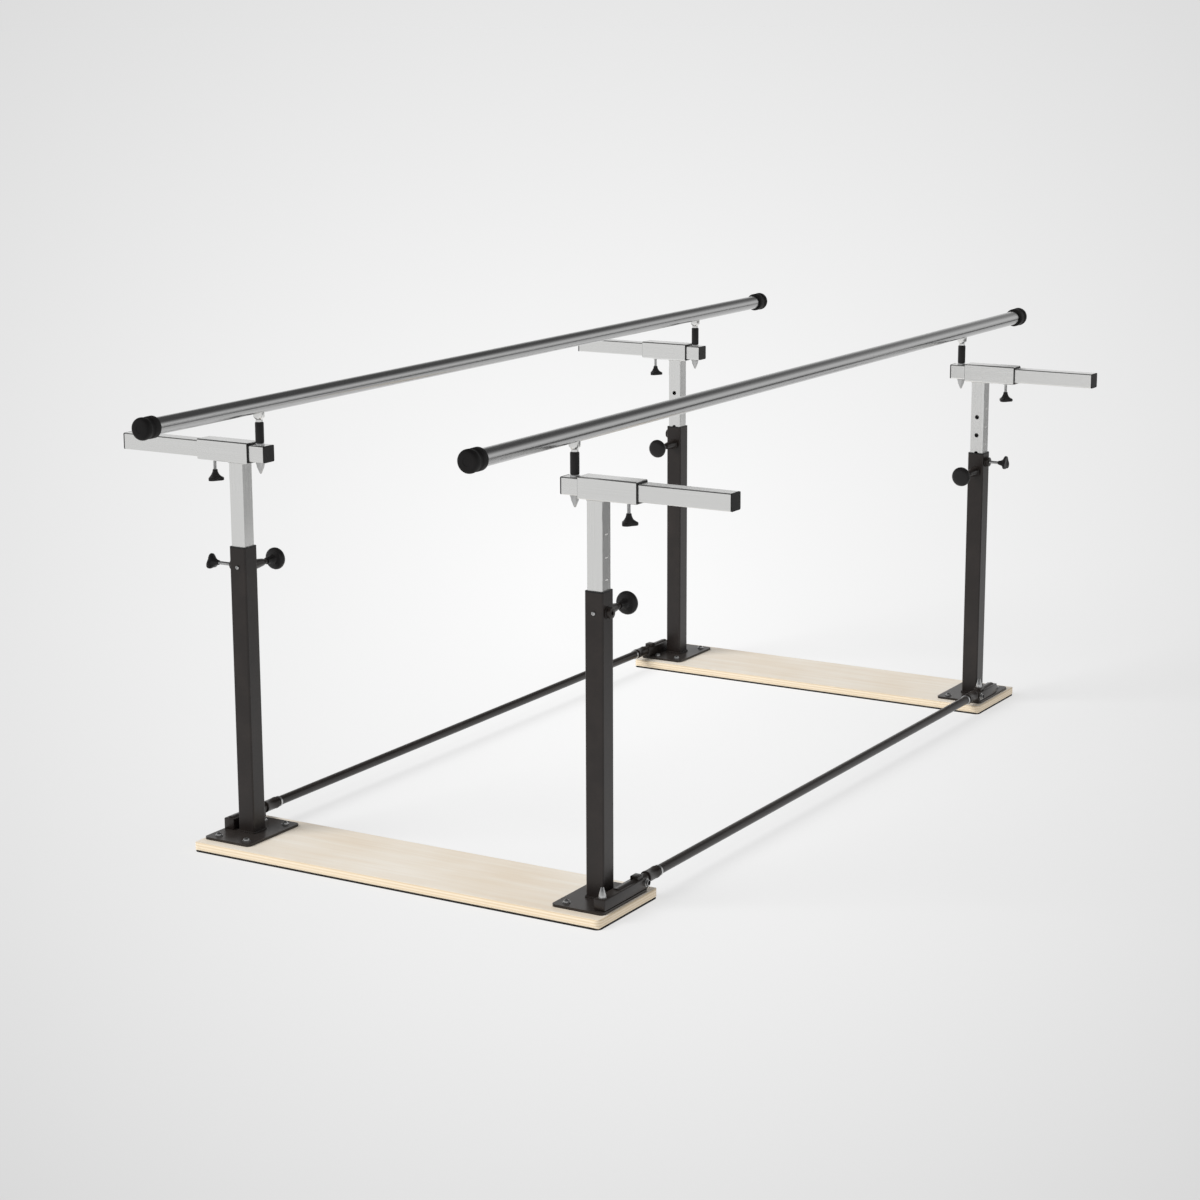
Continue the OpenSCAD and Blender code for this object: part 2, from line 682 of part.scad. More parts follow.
// End cap along +Z with its mouth at z = 0: collar, groove, waist and domed front bead
module end_cap() {
  tube_r = rail_d / 2;
  front_r = tube_r + cap_front / 2;
  waist_r = tube_r + cap_waist / 2;
  rear_r = tube_r + cap_rear / 2;
  rotate_extrude() difference() {
    polygon([
      [0, 0], [rear_r - 1.5, 0], [rear_r, 1.5], [rear_r, cap_len * 0.38],
      [waist_r, cap_len * 0.44], [waist_r, cap_len * 0.6],
      [front_r - 1, cap_len * 0.66], [front_r, cap_len * 0.72], [front_r, cap_len * 0.84],
      [front_r - 1.6, cap_len * 0.93], [front_r - 5, cap_len], [0, cap_len]]);
    translate([-1, -1]) square([1 + tube_r, cap_len - cap_wall + 1]);
  }
}

module end_caps(sx)
  color("Black") at_rail(sx) for (a = [90, -90])
    rotate([a, 0, 0]) translate([0, 0, rail_len / 2 + cap_wall - cap_len]) end_cap();

module rail_pins(sx)
  color("LightGray") at_side(sx) translate([-rail_inset, 0, 0]) difference() {
    union() {
      translate([0, 0, arm_z - arm_w / 2 - nut_h + 16])
        cylinder(d = pin_d, h = rail_z - rail_d / 2 + 6 - (arm_z - arm_w / 2 - nut_h + 16));
      translate([0, 0, rail_z - rail_d / 2 - saddle_h]) cylinder(d = saddle_d, h = saddle_h + 6);
    }
    difference() {
      translate([0, 0, rail_z]) rotate([90, 0, 0]) cylinder(d = rail_d, h = 60, center = true);
      cylinder(d = pin_d, h = rail_z);
    }
  }

module spacers(sx)
  color("Black") at_side(sx) translate([-rail_inset, 0, arm_z + arm_w / 2 + washer_t]) difference() {
    h = rail_rise - rail_d / 2 - arm_w / 2 - washer_t - saddle_h;
    cylinder(d = spacer_d, h = h);
    translate([0, 0, -1]) cylinder(d = pin_d + 0.1, h = h + 2);
  }

module nuts(sx)
  color("Silver") at_side(sx) translate([-rail_inset, 0, arm_z]) {
    translate([0, 0, arm_w / 2]) difference() {
      cylinder(d = spacer_d + 1, h = washer_t);
      translate([0, 0, -1]) cylinder(d = pin_d + 0.1, h = washer_t + 2);
    }
    translate([0, 0, -arm_w / 2]) mirror([0, 0, 1]) difference() {
      union() {
        cylinder(d = pin_d + 10, h = 2);
        translate([0, 0, 1]) cylinder(d = pin_d + 8, h = 7, $fn = 6);
        rotate_extrude() polygon([
          [0, 1], [pin_d / 2 + 3, 1], [pin_d / 2 + 3, 8], [pin_d / 2 + 2.2, nut_h - 13],
          [2.5, nut_h - 1], [1.5, nut_h], [0, nut_h]]);
      }
      translate([0, 0, -1]) cylinder(d = pin_d + 0.1, h = nut_h - 14);
    }
  }

// The assembly

board(-1);  // near_board
board(1);  // far_board
mats();  // board_mats
base_plate(-1, -1);  // near_left_base_plate
base_plate(1, -1);  // near_right_base_plate
base_plate(1, 1);  // far_right_base_plate
base_plate(-1, 1);  // far_left_base_plate
plate_bolts();  // base_plate_bolts
outer_upright(-1, -1, clamp_drop_near);  // near_left_outer_upright
outer_upright(1, -1, clamp_drop_near);  // near_right_outer_upright
outer_upright(1, 1, clamp_drop_far);  // far_right_outer_upright
outer_upright(-1, 1, clamp_drop_far);  // far_left_outer_upright
bushes();  // guide_bushes
face_screws();  // upright_screws
bosses();  // clamp_bosses
barrels();  // plunger_barrels
springs();  // plunger_springs
brace(-1);  // left_brace
brace(1);  // right_brace
sockets();  // brace_sockets
collars();  // brace_collars
fittings();  // brace_fittings
inner_upright(-1, -1);  // near_left_inner_upright
inner_upright(1, -1);  // near_right_inner_upright
inner_upright(1, 1);  // far_right_inner_upright
inner_upright(-1, 1);  // far_left_inner_upright
arm_sleeve(-1, -1);  // near_left_arm_sleeve
arm_sleeve(1, -1);  // near_right_arm_sleeve
arm_sleeve(1, 1);  // far_right_arm_sleeve
arm_sleeve(-1, 1);  // far_left_arm_sleeve
glides(-1);  // left_lift_glides
glides(1);  // right_lift_glides
arm_tube(-1, -1);  // near_left_arm_tube
arm_tube(1, -1);  // near_right_arm_tube
arm_tube(1, 1);  // far_right_arm_tube
arm_tube(-1, 1);  // far_left_arm_tube
arm_plugs(-1);  // left_arm_plugs
arm_plugs(1);  // right_arm_plugs
handrail(-1);  // left_handrail
handrail(1);  // right_handrail
end_caps(-1);  // left_rail_end_caps
end_caps(1);  // right_rail_end_caps
rail_pins(-1);  // left_rail_pins
rail_pins(1);  // right_rail_pins
spacers(-1);  // left_rail_spacers
spacers(1);  // right_rail_spacers
nuts(-1);  // left_rail_nuts
nuts(1);  // right_rail_nuts
plunger(-1, -1);  // near_left_plunger
plunger(1, -1);  // near_right_plunger
plunger(1, 1);  // far_right_plunger
plunger(-1, 1);  // far_left_plunger
side_clamp(-1, -1, clamp_drop_near, clamp_back);  // near_left_side_clamp
side_clamp(1, 1, clamp_drop_far, 0);  // far_right_side_clamp
arm_clamp(-1, -1);  // near_left_arm_clamp
arm_clamp(1, -1);  // near_right_arm_clamp
arm_clamp(1, 1);  // far_right_arm_clamp
arm_clamp(-1, 1);  // far_left_arm_clamp
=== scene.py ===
# Rehab walking parallel bars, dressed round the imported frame.
# The file follows the bars as they are put together, from the floor up to the handrails.
import math
import bmesh
import bpy
from mathutils import Matrix, Vector


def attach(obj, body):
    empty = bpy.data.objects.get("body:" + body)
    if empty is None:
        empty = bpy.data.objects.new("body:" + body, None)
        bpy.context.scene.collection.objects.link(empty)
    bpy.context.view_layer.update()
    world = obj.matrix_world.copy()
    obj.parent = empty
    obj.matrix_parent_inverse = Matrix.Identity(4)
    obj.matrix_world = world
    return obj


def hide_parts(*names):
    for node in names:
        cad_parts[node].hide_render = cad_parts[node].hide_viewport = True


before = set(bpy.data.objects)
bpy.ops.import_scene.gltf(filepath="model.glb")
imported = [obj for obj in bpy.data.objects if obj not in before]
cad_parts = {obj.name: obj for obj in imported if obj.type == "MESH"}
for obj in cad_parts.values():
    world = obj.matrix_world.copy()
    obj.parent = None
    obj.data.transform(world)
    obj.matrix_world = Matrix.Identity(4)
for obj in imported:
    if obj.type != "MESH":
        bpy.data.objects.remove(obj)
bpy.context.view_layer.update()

# Camera
# It stands to the right of the near end at head height and looks along the walkway, with a
# lens of about 80 mm on a 36 mm wide frame and no shift.
CAMERA_PLACE = Vector((3.3149, -5.7814, 1.9225))
CAMERA_YAW = 30.80
CAMERA_PITCH = -12.574
CAMERA_ROLL = -0.204
camera = bpy.data.objects.new("camera", bpy.data.cameras.new("camera"))
camera.data.lens = 80.62
camera.data.sensor_width = 36
camera.data.clip_end = 200
turn = (Matrix.Rotation(math.radians(CAMERA_YAW), 4, "Z")
        @ Matrix.Rotation(math.radians(90 + CAMERA_PITCH), 4, "X")
        @ Matrix.Rotation(math.radians(CAMERA_ROLL), 4, "Z"))
camera.matrix_world = Matrix.Translation(CAMERA_PLACE) @ turn
bpy.context.scene.collection.objects.link(camera)
bpy.context.scene.camera = camera
bpy.context.scene.view_settings.view_transform = "Standard"


def srgb(code, alpha=1.0):
    """A colour written as a hex sRGB code, turned to the linear values that shaders take."""
    values = [int(code[i:i + 2], 16) / 255 for i in (1, 3, 5)]
    return tuple(v / 12.92 if v <= 0.04045 else ((v + 0.055) / 1.055) ** 2.4 for v in values) + (alpha,)


def add(tree, kind, links=None, **settings):
    """One node with its settings; links gives each input a value or the socket that feeds it."""
    made = tree.nodes.new(kind)
    for key, value in settings.items():
        setattr(made, key, value)
    for key, value in (links or {}).items():
        if isinstance(value, bpy.types.NodeSocket):
            tree.links.new(value, made.inputs[key])
        else:
            made.inputs[key].default_value = value
    return made


def blank_material(name):
    """A material with only its output node."""
    material = bpy.data.materials.new(name)
    material.use_nodes = True
    material.node_tree.nodes.clear()
    return material, material.node_tree, material.node_tree.nodes.new("ShaderNodeOutputMaterial")


# Studio floor and light
# A pale seamless floor under a soft key light from the front left. A pool of light is painted on the floor
# and on the air behind it, pale in the middle and greyer towards the rim. Metal sees the floor, a pale band
# at the horizon and the darker upper studio.
FLOOR_MIDDLE = "#FCFCFC"
FLOOR_RIM = "#DADADA"
FLOOR_GLOW = 0.68
FLOOR_SIZE = 4000.0
FLOOR_AXIS = (-0.512, 0.859, 0.0)
FLOOR_SIDE = (0.859, 0.512, 0.0)
PALE_SPOT = 1.955
VIEW_REACH = 8.62
VIEW_ASIDE = 0.5
VIEW_SPREAD = 4.31
FADE_FROM = 0.1
FADE_TO = 1.5
FILL_STRENGTH = 0.55
KEY_STRENGTH = 2.3
KEY_FROM = (-3.6, -4.6, 4.6)
KEY_SPREAD = 34
STUDIO_DARK = "#5A5A5A"
STUDIO_PALE = "#F0F0F0"
PALE_BELOW = 0.16
DARK_ABOVE = 0.54
CARD_GREY = "#6A6A6A"
CARD_X = (1.8, 4.6)
CARD_Y = (0.0, 9.0)
CARD_Z = 0.004


def painted_light_pool(tree, across, along, near):
    """A painted pool of light, pale in the middle, greyer towards the rim and even beyond it, from two
    distances across and along the view and the distance from the viewer that they are measured at."""
    spot = add(tree, "ShaderNodeCombineXYZ", {0: across, 1: along})
    reach = add(tree, "ShaderNodeVectorMath", {0: spot.outputs[0]}, operation="LENGTH")
    radius = add(tree, "ShaderNodeMath", {0: reach.outputs["Value"], 1: near}, operation="DIVIDE")
    fade = add(tree, "ShaderNodeMapRange", {"Value": radius.outputs[0], "From Min": FADE_FROM,
                                            "From Max": FADE_TO})
    tone = add(tree, "ShaderNodeMix", {"Factor": fade.outputs[0], "A": srgb(FLOOR_MIDDLE),
                                       "B": srgb(FLOOR_RIM)}, data_type="RGBA")
    return tone.outputs["Result"]


def studio_floor():
    """The floor's own light keeps it pale to the eye and in metal, and the rest takes shadows."""
    material, tree, output = blank_material("painted_studio_floor")
    place = add(tree, "ShaderNodeTexCoord").outputs["Object"]
    ahead = add(tree, "ShaderNodeVectorMath", {0: place, 1: FLOOR_AXIS}, operation="DOT_PRODUCT")
    aside = add(tree, "ShaderNodeVectorMath", {0: place, 1: FLOOR_SIDE}, operation="DOT_PRODUCT")
    depth = add(tree, "ShaderNodeMath", {0: ahead.outputs["Value"], 1: -PALE_SPOT}, operation="ADD")
    far = add(tree, "ShaderNodeMath", {0: depth.outputs[0], 1: VIEW_REACH}, operation="ADD")
    near = add(tree, "ShaderNodeMath", {0: far.outputs[0], 1: 1.0}, operation="MAXIMUM")
    width = add(tree, "ShaderNodeMath", {0: aside.outputs["Value"], 1: VIEW_SPREAD, 2: VIEW_ASIDE},
                operation="MULTIPLY_ADD")
    # Painted pool of light: the floor is painted paler in the middle and greyer towards the rim.
    tone = painted_light_pool(tree, width.outputs[0], depth.outputs[0], near.outputs[0])
    glow = add(tree, "ShaderNodeEmission", {"Color": tone, "Strength": 1.0})
    paint = add(tree, "ShaderNodeBsdfDiffuse", {"Color": tone})
    both = add(tree, "ShaderNodeMixShader", {0: FLOOR_GLOW, 1: paint.outputs[0], 2: glow.outputs[0]})
    tree.links.new(both.outputs[0], output.inputs["Surface"])
    return material


def link_piece(obj, material=None):
    """Puts an object in the scene, with one material if it is given."""
    bpy.context.scene.collection.objects.link(obj)
    if material is not None:
        obj.data.materials.clear()
        obj.data.materials.append(material)
    return obj


def flat_card(name, corners, material):
    """A single four-sided face for the studio."""
    mesh = bpy.data.meshes.new(name)
    mesh.from_pydata(corners, [], [(0, 1, 2, 3)])
    card = link_piece(bpy.data.objects.new(name, mesh), material)
    return card


half = FLOOR_SIZE / 2
studio_material = studio_floor()
flat_card("studio_floor", [(-half, -half, 0), (half, -half, 0), (half, half, 0), (-half, half, 0)],
          studio_material)

card_grey, card_tree, card_output = blank_material("grey_felt_card")
felt = add(card_tree, "ShaderNodeBsdfDiffuse", {"Color": srgb(CARD_GREY)})
card_tree.links.new(felt.outputs[0], card_output.inputs["Surface"])
floor_card = flat_card("grey_card", [
    (CARD_X[0], CARD_Y[0], CARD_Z), (CARD_X[1], CARD_Y[0], CARD_Z),
    (CARD_X[1], CARD_Y[1], CARD_Z), (CARD_X[0], CARD_Y[1], CARD_Z)], card_grey)
floor_card.visible_camera = False
floor_card.visible_diffuse = False
floor_card.visible_shadow = False

key = bpy.data.lights.new("key_light", "SUN")
key.angle = math.radians(KEY_SPREAD)
key.energy = KEY_STRENGTH
key_lamp = bpy.data.objects.new("key_light", key)
key_lamp.visible_glossy = False
key_lamp.rotation_euler = Vector(KEY_FROM).to_track_quat("Z", "Y").to_euler()
bpy.context.scene.collection.objects.link(key_lamp)

world = bpy.data.worlds.new("studio_air")
bpy.context.scene.world = world
world.use_nodes = True
air = world.node_tree
air.nodes.clear()
air_output = air.nodes.new("ShaderNodeOutputWorld")
path = add(air, "ShaderNodeLightPath")
look = add(air, "ShaderNodeTexCoord")
way = add(air, "ShaderNodeSeparateXYZ", {0: look.outputs["Generated"]})
rise = add(air, "ShaderNodeMapRange", {"Value": way.outputs["Z"], "From Min": PALE_BELOW,
                                       "From Max": DARK_ABOVE},
           interpolation_type="SMOOTHSTEP")
seen_in_metal = add(air, "ShaderNodeMix", {"Factor": rise.outputs[0], "A": srgb(STUDIO_PALE),
                                           "B": srgb(STUDIO_DARK)}, data_type="RGBA")
metal_air = add(air, "ShaderNodeBackground", {"Color": seen_in_metal.outputs["Result"], "Strength": 1.0})
plain_air = add(air, "ShaderNodeBackground", {"Color": srgb("#FFFFFF"), "Strength": FILL_STRENGTH})
onward = add(air, "ShaderNodeVectorMath", {0: look.outputs["Generated"], 1: FLOOR_AXIS},
             operation="DOT_PRODUCT")
sideways = add(air, "ShaderNodeVectorMath", {0: look.outputs["Generated"], 1: FLOOR_SIDE},
               operation="DOT_PRODUCT")
forward = add(air, "ShaderNodeMath", {0: onward.outputs["Value"], 1: 0.2}, operation="MAXIMUM")
outward = add(air, "ShaderNodeMath", {0: sideways.outputs["Value"], 1: VIEW_SPREAD}, operation="MULTIPLY")
upward = add(air, "ShaderNodeMath", {0: way.outputs["Z"], 1: VIEW_SPREAD, 2: forward.outputs[0]},
             operation="MULTIPLY_ADD")
# Painted pool of light on the air the camera sees behind the bars, matching the floor.
pale_air = add(air, "ShaderNodeBackground", {
    "Color": painted_light_pool(air, outward.outputs[0], upward.outputs[0], forward.outputs[0]), "Strength": 1.0})
glossy_or_plain = add(air, "ShaderNodeMixShader", {0: path.outputs["Is Glossy Ray"],
                                                   1: plain_air.outputs[0], 2: metal_air.outputs[0]})
pale_ray = add(air, "ShaderNodeMath", {0: path.outputs["Is Camera Ray"],
                                       1: path.outputs["Is Transmission Ray"]}, operation="MAXIMUM")
whole_air = add(air, "ShaderNodeMixShader", {0: pale_ray.outputs[0], 1: glossy_or_plain.outputs[0],
                                             2: pale_air.outputs[0]})
air.links.new(whole_air.outputs[0], air_output.inputs["Surface"])

# Cross boards and their mats
# Two birch plywood boards, sawn, rounded over and lacquered, carry the posts and stop the bars
# from tipping. A thin rubber mat is glued under each.
PLY_FACE_PALE = "#F4EDE1"
PLY_FACE_WARM = "#EADCC8"
PLY_EDGE_PALE = "#EFE0C8"
PLY_EDGE_DARK = "#DCC6A4"
PLY_LAYER_MM = 1.54
MM = 0.001


def shader_of(tree, output, colour, roughness, **more):
    """The surface shader, with a colour and a roughness that may come from sockets."""
    values = {"Base Color": colour, "Roughness": roughness}
    values.update(more)
    shader = add(tree, "ShaderNodeBsdfPrincipled", values)
    tree.links.new(shader.outputs[0], output.inputs["Surface"])
    return shader


def birch_plywood():
    """Lacquered birch plywood: a pale face with long soft grain, and edges in thin glued layers
    that take the light in turn. The grain runs across the walkway, along the board."""
    material, tree, output = blank_material("lacquered_birch_plywood")
    place = add(tree, "ShaderNodeTexCoord").outputs["Object"]
    stretch = add(tree, "ShaderNodeMapping", {"Vector": place, "Scale": (2.2, 42.0, 42.0)})
    grain = add(tree, "ShaderNodeTexNoise", {"Vector": stretch.outputs[0], "Scale": 1.0, "Detail": 8.0,
                                             "Roughness": 0.62, "Distortion": 0.35})
    cloud = add(tree, "ShaderNodeTexNoise", {"Vector": place, "Scale": 3.1, "Detail": 3.0})
    pores_at = add(tree, "ShaderNodeMapping", {"Vector": place, "Scale": (60.0, 900.0, 900.0)})
    pores = add(tree, "ShaderNodeTexNoise", {"Vector": pores_at.outputs[0], "Scale": 1.0, "Detail": 2.0})
    tone = add(tree, "ShaderNodeMath", {0: grain.outputs["Fac"], 1: cloud.outputs["Fac"]}, operation="ADD")
    ramp = add(tree, "ShaderNodeMapRange", {"Value": tone.outputs[0], "From Min": 0.78, "From Max": 1.24})
    face = add(tree, "ShaderNodeMix", {"Factor": ramp.outputs[0], "A": srgb(PLY_FACE_WARM),
                                       "B": srgb(PLY_FACE_PALE)}, data_type="RGBA")
    axes = add(tree, "ShaderNodeSeparateXYZ", {0: place})
    layer = add(tree, "ShaderNodeMath", {0: axes.outputs["Z"], 1: 1 / (2 * PLY_LAYER_MM * MM)},
                operation="MULTIPLY")
    wave = add(tree, "ShaderNodeMath", {0: layer.outputs[0], 1: 1.0}, operation="PINGPONG")
    fibre = add(tree, "ShaderNodeMath", {0: wave.outputs[0], 1: grain.outputs["Fac"]}, operation="MULTIPLY")
    strata = add(tree, "ShaderNodeMapRange", {"Value": wave.outputs[0], "From Min": 0.35, "From Max": 0.65})
    soft = add(tree, "ShaderNodeMath", {0: strata.outputs[0], 1: 0.32}, operation="MULTIPLY")
    shade = add(tree, "ShaderNodeMath", {0: soft.outputs[0], 1: fibre.outputs[0]}, operation="ADD")
    edge = add(tree, "ShaderNodeMix", {"Factor": shade.outputs[0], "A": srgb(PLY_EDGE_PALE),
                                       "B": srgb(PLY_EDGE_DARK)}, data_type="RGBA")
    side = add(tree, "ShaderNodeNewGeometry")
    upright = add(tree, "ShaderNodeSeparateXYZ", {0: side.outputs["Normal"]})
    steep = add(tree, "ShaderNodeMath", {0: upright.outputs["Z"]}, operation="ABSOLUTE")
    on_face = add(tree, "ShaderNodeMapRange", {"Value": steep.outputs[0], "From Min": 0.9,
                                               "From Max": 0.97})
    colour = add(tree, "ShaderNodeMix", {"Factor": on_face.outputs[0], "A": edge.outputs["Result"],
                                         "B": face.outputs["Result"]}, data_type="RGBA")
    sheen = add(tree, "ShaderNodeMapRange", {"Value": grain.outputs["Fac"], "To Min": 0.38, "To Max": 0.56})
    bump = add(tree, "ShaderNodeBump", {"Height": pores.outputs["Fac"], "Strength": 0.12,
                                        "Distance": 0.0004})
    shader_of(tree, output, colour.outputs["Result"], sheen.outputs[0], Normal=bump.outputs[0])
    return material


def moulded_rubber(name, colour, grain_mm):
    """Black rubber from a mould: dull, with dust on its high spots and a fine grain."""
    material, tree, output = blank_material(name)
    place = add(tree, "ShaderNodeTexCoord").outputs["Object"]
    grit = add(tree, "ShaderNodeTexNoise", {"Vector": place, "Scale": 1 / (grain_mm * MM), "Detail": 3.0})
    dust = add(tree, "ShaderNodeTexNoise", {"Vector": place, "Scale": 22.0, "Detail": 5.0})
    tint = add(tree, "ShaderNodeMapRange", {"Value": dust.outputs["Fac"], "From Min": 0.35,
                                            "From Max": 0.8})
    body = add(tree, "ShaderNodeMix", {"Factor": tint.outputs[0], "A": srgb(colour),
                                       "B": srgb("#1F1E1E")}, data_type="RGBA")
    dull = add(tree, "ShaderNodeMapRange", {"Value": dust.outputs["Fac"], "To Min": 0.5, "To Max": 0.72})
    bump = add(tree, "ShaderNodeBump", {"Height": grit.outputs["Fac"], "Strength": 0.25,
                                        "Distance": 0.0003})
    shader_of(tree, output, body.outputs["Result"], dull.outputs[0], Normal=bump.outputs[0],
              **{"Specular IOR Level": 0.2})
    return material


def dress(node, material):
    """Gives a CAD node that keeps its own shape a finished material."""
    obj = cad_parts[node]
    obj.data.materials.clear()
    obj.data.materials.append(material)


plywood = birch_plywood()
mat_rubber = moulded_rubber("ribbed_mat_rubber", "#1B1A1A", 1.2)
dress("near_board", plywood)
dress("far_board", plywood)
dress("board_mats", mat_rubber)

# Base plates and their bolts
# Each post stands on a flat steel plate, powder coated black with the post, and bolted to the
# board with bright zinc plated button-head bolts on washers. The fourth bolt of the near right
# plate goes through its long brace socket and carries a cone nut.
POSTS = {"near_left": (-1, -1), "near_right": (1, -1), "far_right": (1, 1), "far_left": (-1, 1)}
POST_X = 0.474
POST_Y = 1.020
PLATE_TOP = 29
BOLT_PLACES = [(-40, -74), (-40, 74), (23, -74), (40, 74)]
BRACE_X = 50
BOLT_Y = 74
SOCKET_TOP = 55
CONE_NUT = [(4, 0), (8.7, 0), (9, 0.3), (9, 1.2), (8.7, 1.5), (7.8, 1.5), (8, 1.8), (8, 6.2), (7.8, 6.8),
            (3.1, 23.2), (2.5, 23.9), (0, 24)]
PAINT = "#1F1A18"
PAINT_WORN = "#2A2421"


def powder_coat():
    """Black powder coat baked on steel: a soft satin skin with a fine orange peel, a little paler where it
    has been rubbed, and faces that look up painted paler, a painted highlight from above."""
    material, tree, output = blank_material("black_powder_coat")
    place = add(tree, "ShaderNodeTexCoord").outputs["Object"]
    peel = add(tree, "ShaderNodeTexNoise", {"Vector": place, "Scale": 520.0, "Detail": 2.0})
    rub = add(tree, "ShaderNodeTexNoise", {"Vector": place, "Scale": 9.0, "Detail": 6.0, "Roughness": 0.7})
    worn = add(tree, "ShaderNodeMapRange", {"Value": rub.outputs["Fac"], "From Min": 0.45,
                                            "From Max": 0.75})
    base = add(tree, "ShaderNodeMix", {"Factor": worn.outputs[0], "A": srgb(PAINT), "B": srgb(PAINT_WORN)},
               data_type="RGBA")
    facing = add(tree, "ShaderNodeNewGeometry")
    up = add(tree, "ShaderNodeSeparateXYZ", {0: facing.outputs["Normal"]})
    # Painted highlight: faces that look up are mixed toward a paler grey, as if lit from above.
    painted_top_light = add(tree, "ShaderNodeMapRange", {"Value": up.outputs["Z"], "From Min": 0.7, "From Max": 1.0,
                                             "To Max": 0.3})
    colour = add(tree, "ShaderNodeMix", {"Factor": painted_top_light.outputs[0], "A": base.outputs["Result"],
                                         "B": srgb("#4E4A47")}, data_type="RGBA")
    satin = add(tree, "ShaderNodeMapRange", {"Value": rub.outputs["Fac"], "To Min": 0.24, "To Max": 0.38})
    bump = add(tree, "ShaderNodeBump", {"Height": peel.outputs["Fac"], "Strength": 0.16,
                                        "Distance": 0.0004})
    shader_of(tree, output, colour.outputs["Result"], satin.outputs[0], Normal=bump.outputs[0],
              **{"Specular IOR Level": 0.4})
    return material


def zinc_plate():
    """Bright zinc plate on small steel parts: cool, slightly cloudy metal."""
    material, tree, output = blank_material("bright_zinc_plate")
    place = add(tree, "ShaderNodeTexCoord").outputs["Object"]
    cloud = add(tree, "ShaderNodeTexNoise", {"Vector": place, "Scale": 160.0, "Detail": 4.0})
    tone = add(tree, "ShaderNodeMix", {"Factor": cloud.outputs["Fac"], "A": srgb("#A5A6A7"),
                                       "B": srgb("#D2D2D1")}, data_type="RGBA")
    rough = add(tree, "ShaderNodeMapRange", {"Value": cloud.outputs["Fac"], "To Min": 0.22, "To Max": 0.42})
    shader_of(tree, output, tone.outputs["Result"], rough.outputs[0], Metallic=1.0)
    return material


def post_point(post, x, y, z):
    """A point given in millimetres from a post's centre, x and y outboard, in the row frame."""
    sx, sy = POSTS[post]
    return Vector((sx * (POST_X + x * MM), sy * (POST_Y + y * MM), z * MM))


def lathe(bm, profile, place=None, segments=48):
    """Turns a closed outline of (radius, height) in millimetres about the Z axis, then places it."""
    rings = []
    for r, z in profile:
        if r < 1e-6:
            rings.append([bm.verts.new((0, 0, z * MM))])
            continue
        ring = []
        for i in range(segments):
            a = 2 * math.pi * i / segments
            ring.append(bm.verts.new((r * MM * math.cos(a), r * MM * math.sin(a), z * MM)))
        rings.append(ring)
    made = [v for ring in rings for v in ring]
    pairs = list(zip(rings, rings[1:]))
    if len(rings[0]) > 1:
        pairs.append((rings[-1], rings[0]))
    for low, high in pairs:
        for i in range(segments):
            j = (i + 1) % segments
            if len(low) == 1 and len(high) == 1:
                break
            if len(low) == 1:
                bm.faces.new((low[0], high[j], high[i]))
            elif len(high) == 1:
                bm.faces.new((low[i], low[j], high[0]))
            else:
                bm.faces.new((low[i], low[j], high[j], high[i]))
    if place is not None:
        bmesh.ops.transform(bm, matrix=place, verts=made)
    return made


def finished(name, bm, material, body, replaced=(), sharp=32):
    """Closes a mesh piece: normals out, smooth with hard corners, on its body, with its slot."""
    bmesh.ops.remove_doubles(bm, verts=bm.verts, dist=1e-7)
    bmesh.ops.recalc_face_normals(bm, faces=bm.faces)
    mesh = bpy.data.meshes.new(name)
    bm.to_mesh(mesh)
    bm.free()
    mesh.shade_smooth()
    mesh.set_sharp_from_angle(angle=math.radians(sharp))
    piece = link_piece(bpy.data.objects.new(name, mesh), material)
    settle(piece, body, replaced)
    return piece


def settle(piece, body, replaced=()):
    """Rides a piece on its body and hides the CAD nodes it stands for."""
    if replaced:
        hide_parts(*replaced)
    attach(piece, body)


def prototype(name, bm):
    """A mesh that is only a pattern for repeats; it is removed once they are made."""
    bmesh.ops.recalc_face_normals(bm, faces=bm.faces)
    mesh = bpy.data.meshes.new(name)
    bm.to_mesh(mesh)
    bm.free()
    mesh.shade_smooth()
    mesh.set_sharp_from_angle(angle=math.radians(32))
    return bpy.data.objects.new(name, mesh)


def repeat_tree():
    """Puts one pattern on every point, turned by the point's own turn, as real geometry."""
    tree = bpy.data.node_groups.new("repeat_on_points", "GeometryNodeTree")
    face = tree.interface
    face.new_socket("Points", in_out="INPUT", socket_type="NodeSocketGeometry")
    face.new_socket("Pattern", in_out="INPUT", socket_type="NodeSocketObject")
    face.new_socket("Size", in_out="INPUT", socket_type="NodeSocketFloat")
    face.new_socket("Material", in_out="INPUT", socket_type="NodeSocketMaterial")
    face.new_socket("Geometry", in_out="OUTPUT", socket_type="NodeSocketGeometry")
    start = add(tree, "NodeGroupInput")
    pattern = add(tree, "GeometryNodeObjectInfo", {"Object": start.outputs["Pattern"]})
    turned = add(tree, "GeometryNodeInputNamedAttribute", {"Name": "turn"}, data_type="FLOAT_VECTOR")
    copies = add(tree, "GeometryNodeInstanceOnPoints", {
        "Points": start.outputs["Points"], "Instance": pattern.outputs["Geometry"],
        "Rotation": turned.outputs["Attribute"], "Scale": start.outputs["Size"]})
    real = add(tree, "GeometryNodeRealizeInstances", {"Geometry": copies.outputs["Instances"]})
    coated = add(tree, "GeometryNodeSetMaterial", {"Geometry": real.outputs["Geometry"],
                                                   "Material": start.outputs["Material"]})
    add(tree, "NodeGroupOutput", {"Geometry": coated.outputs["Geometry"]})
    return tree


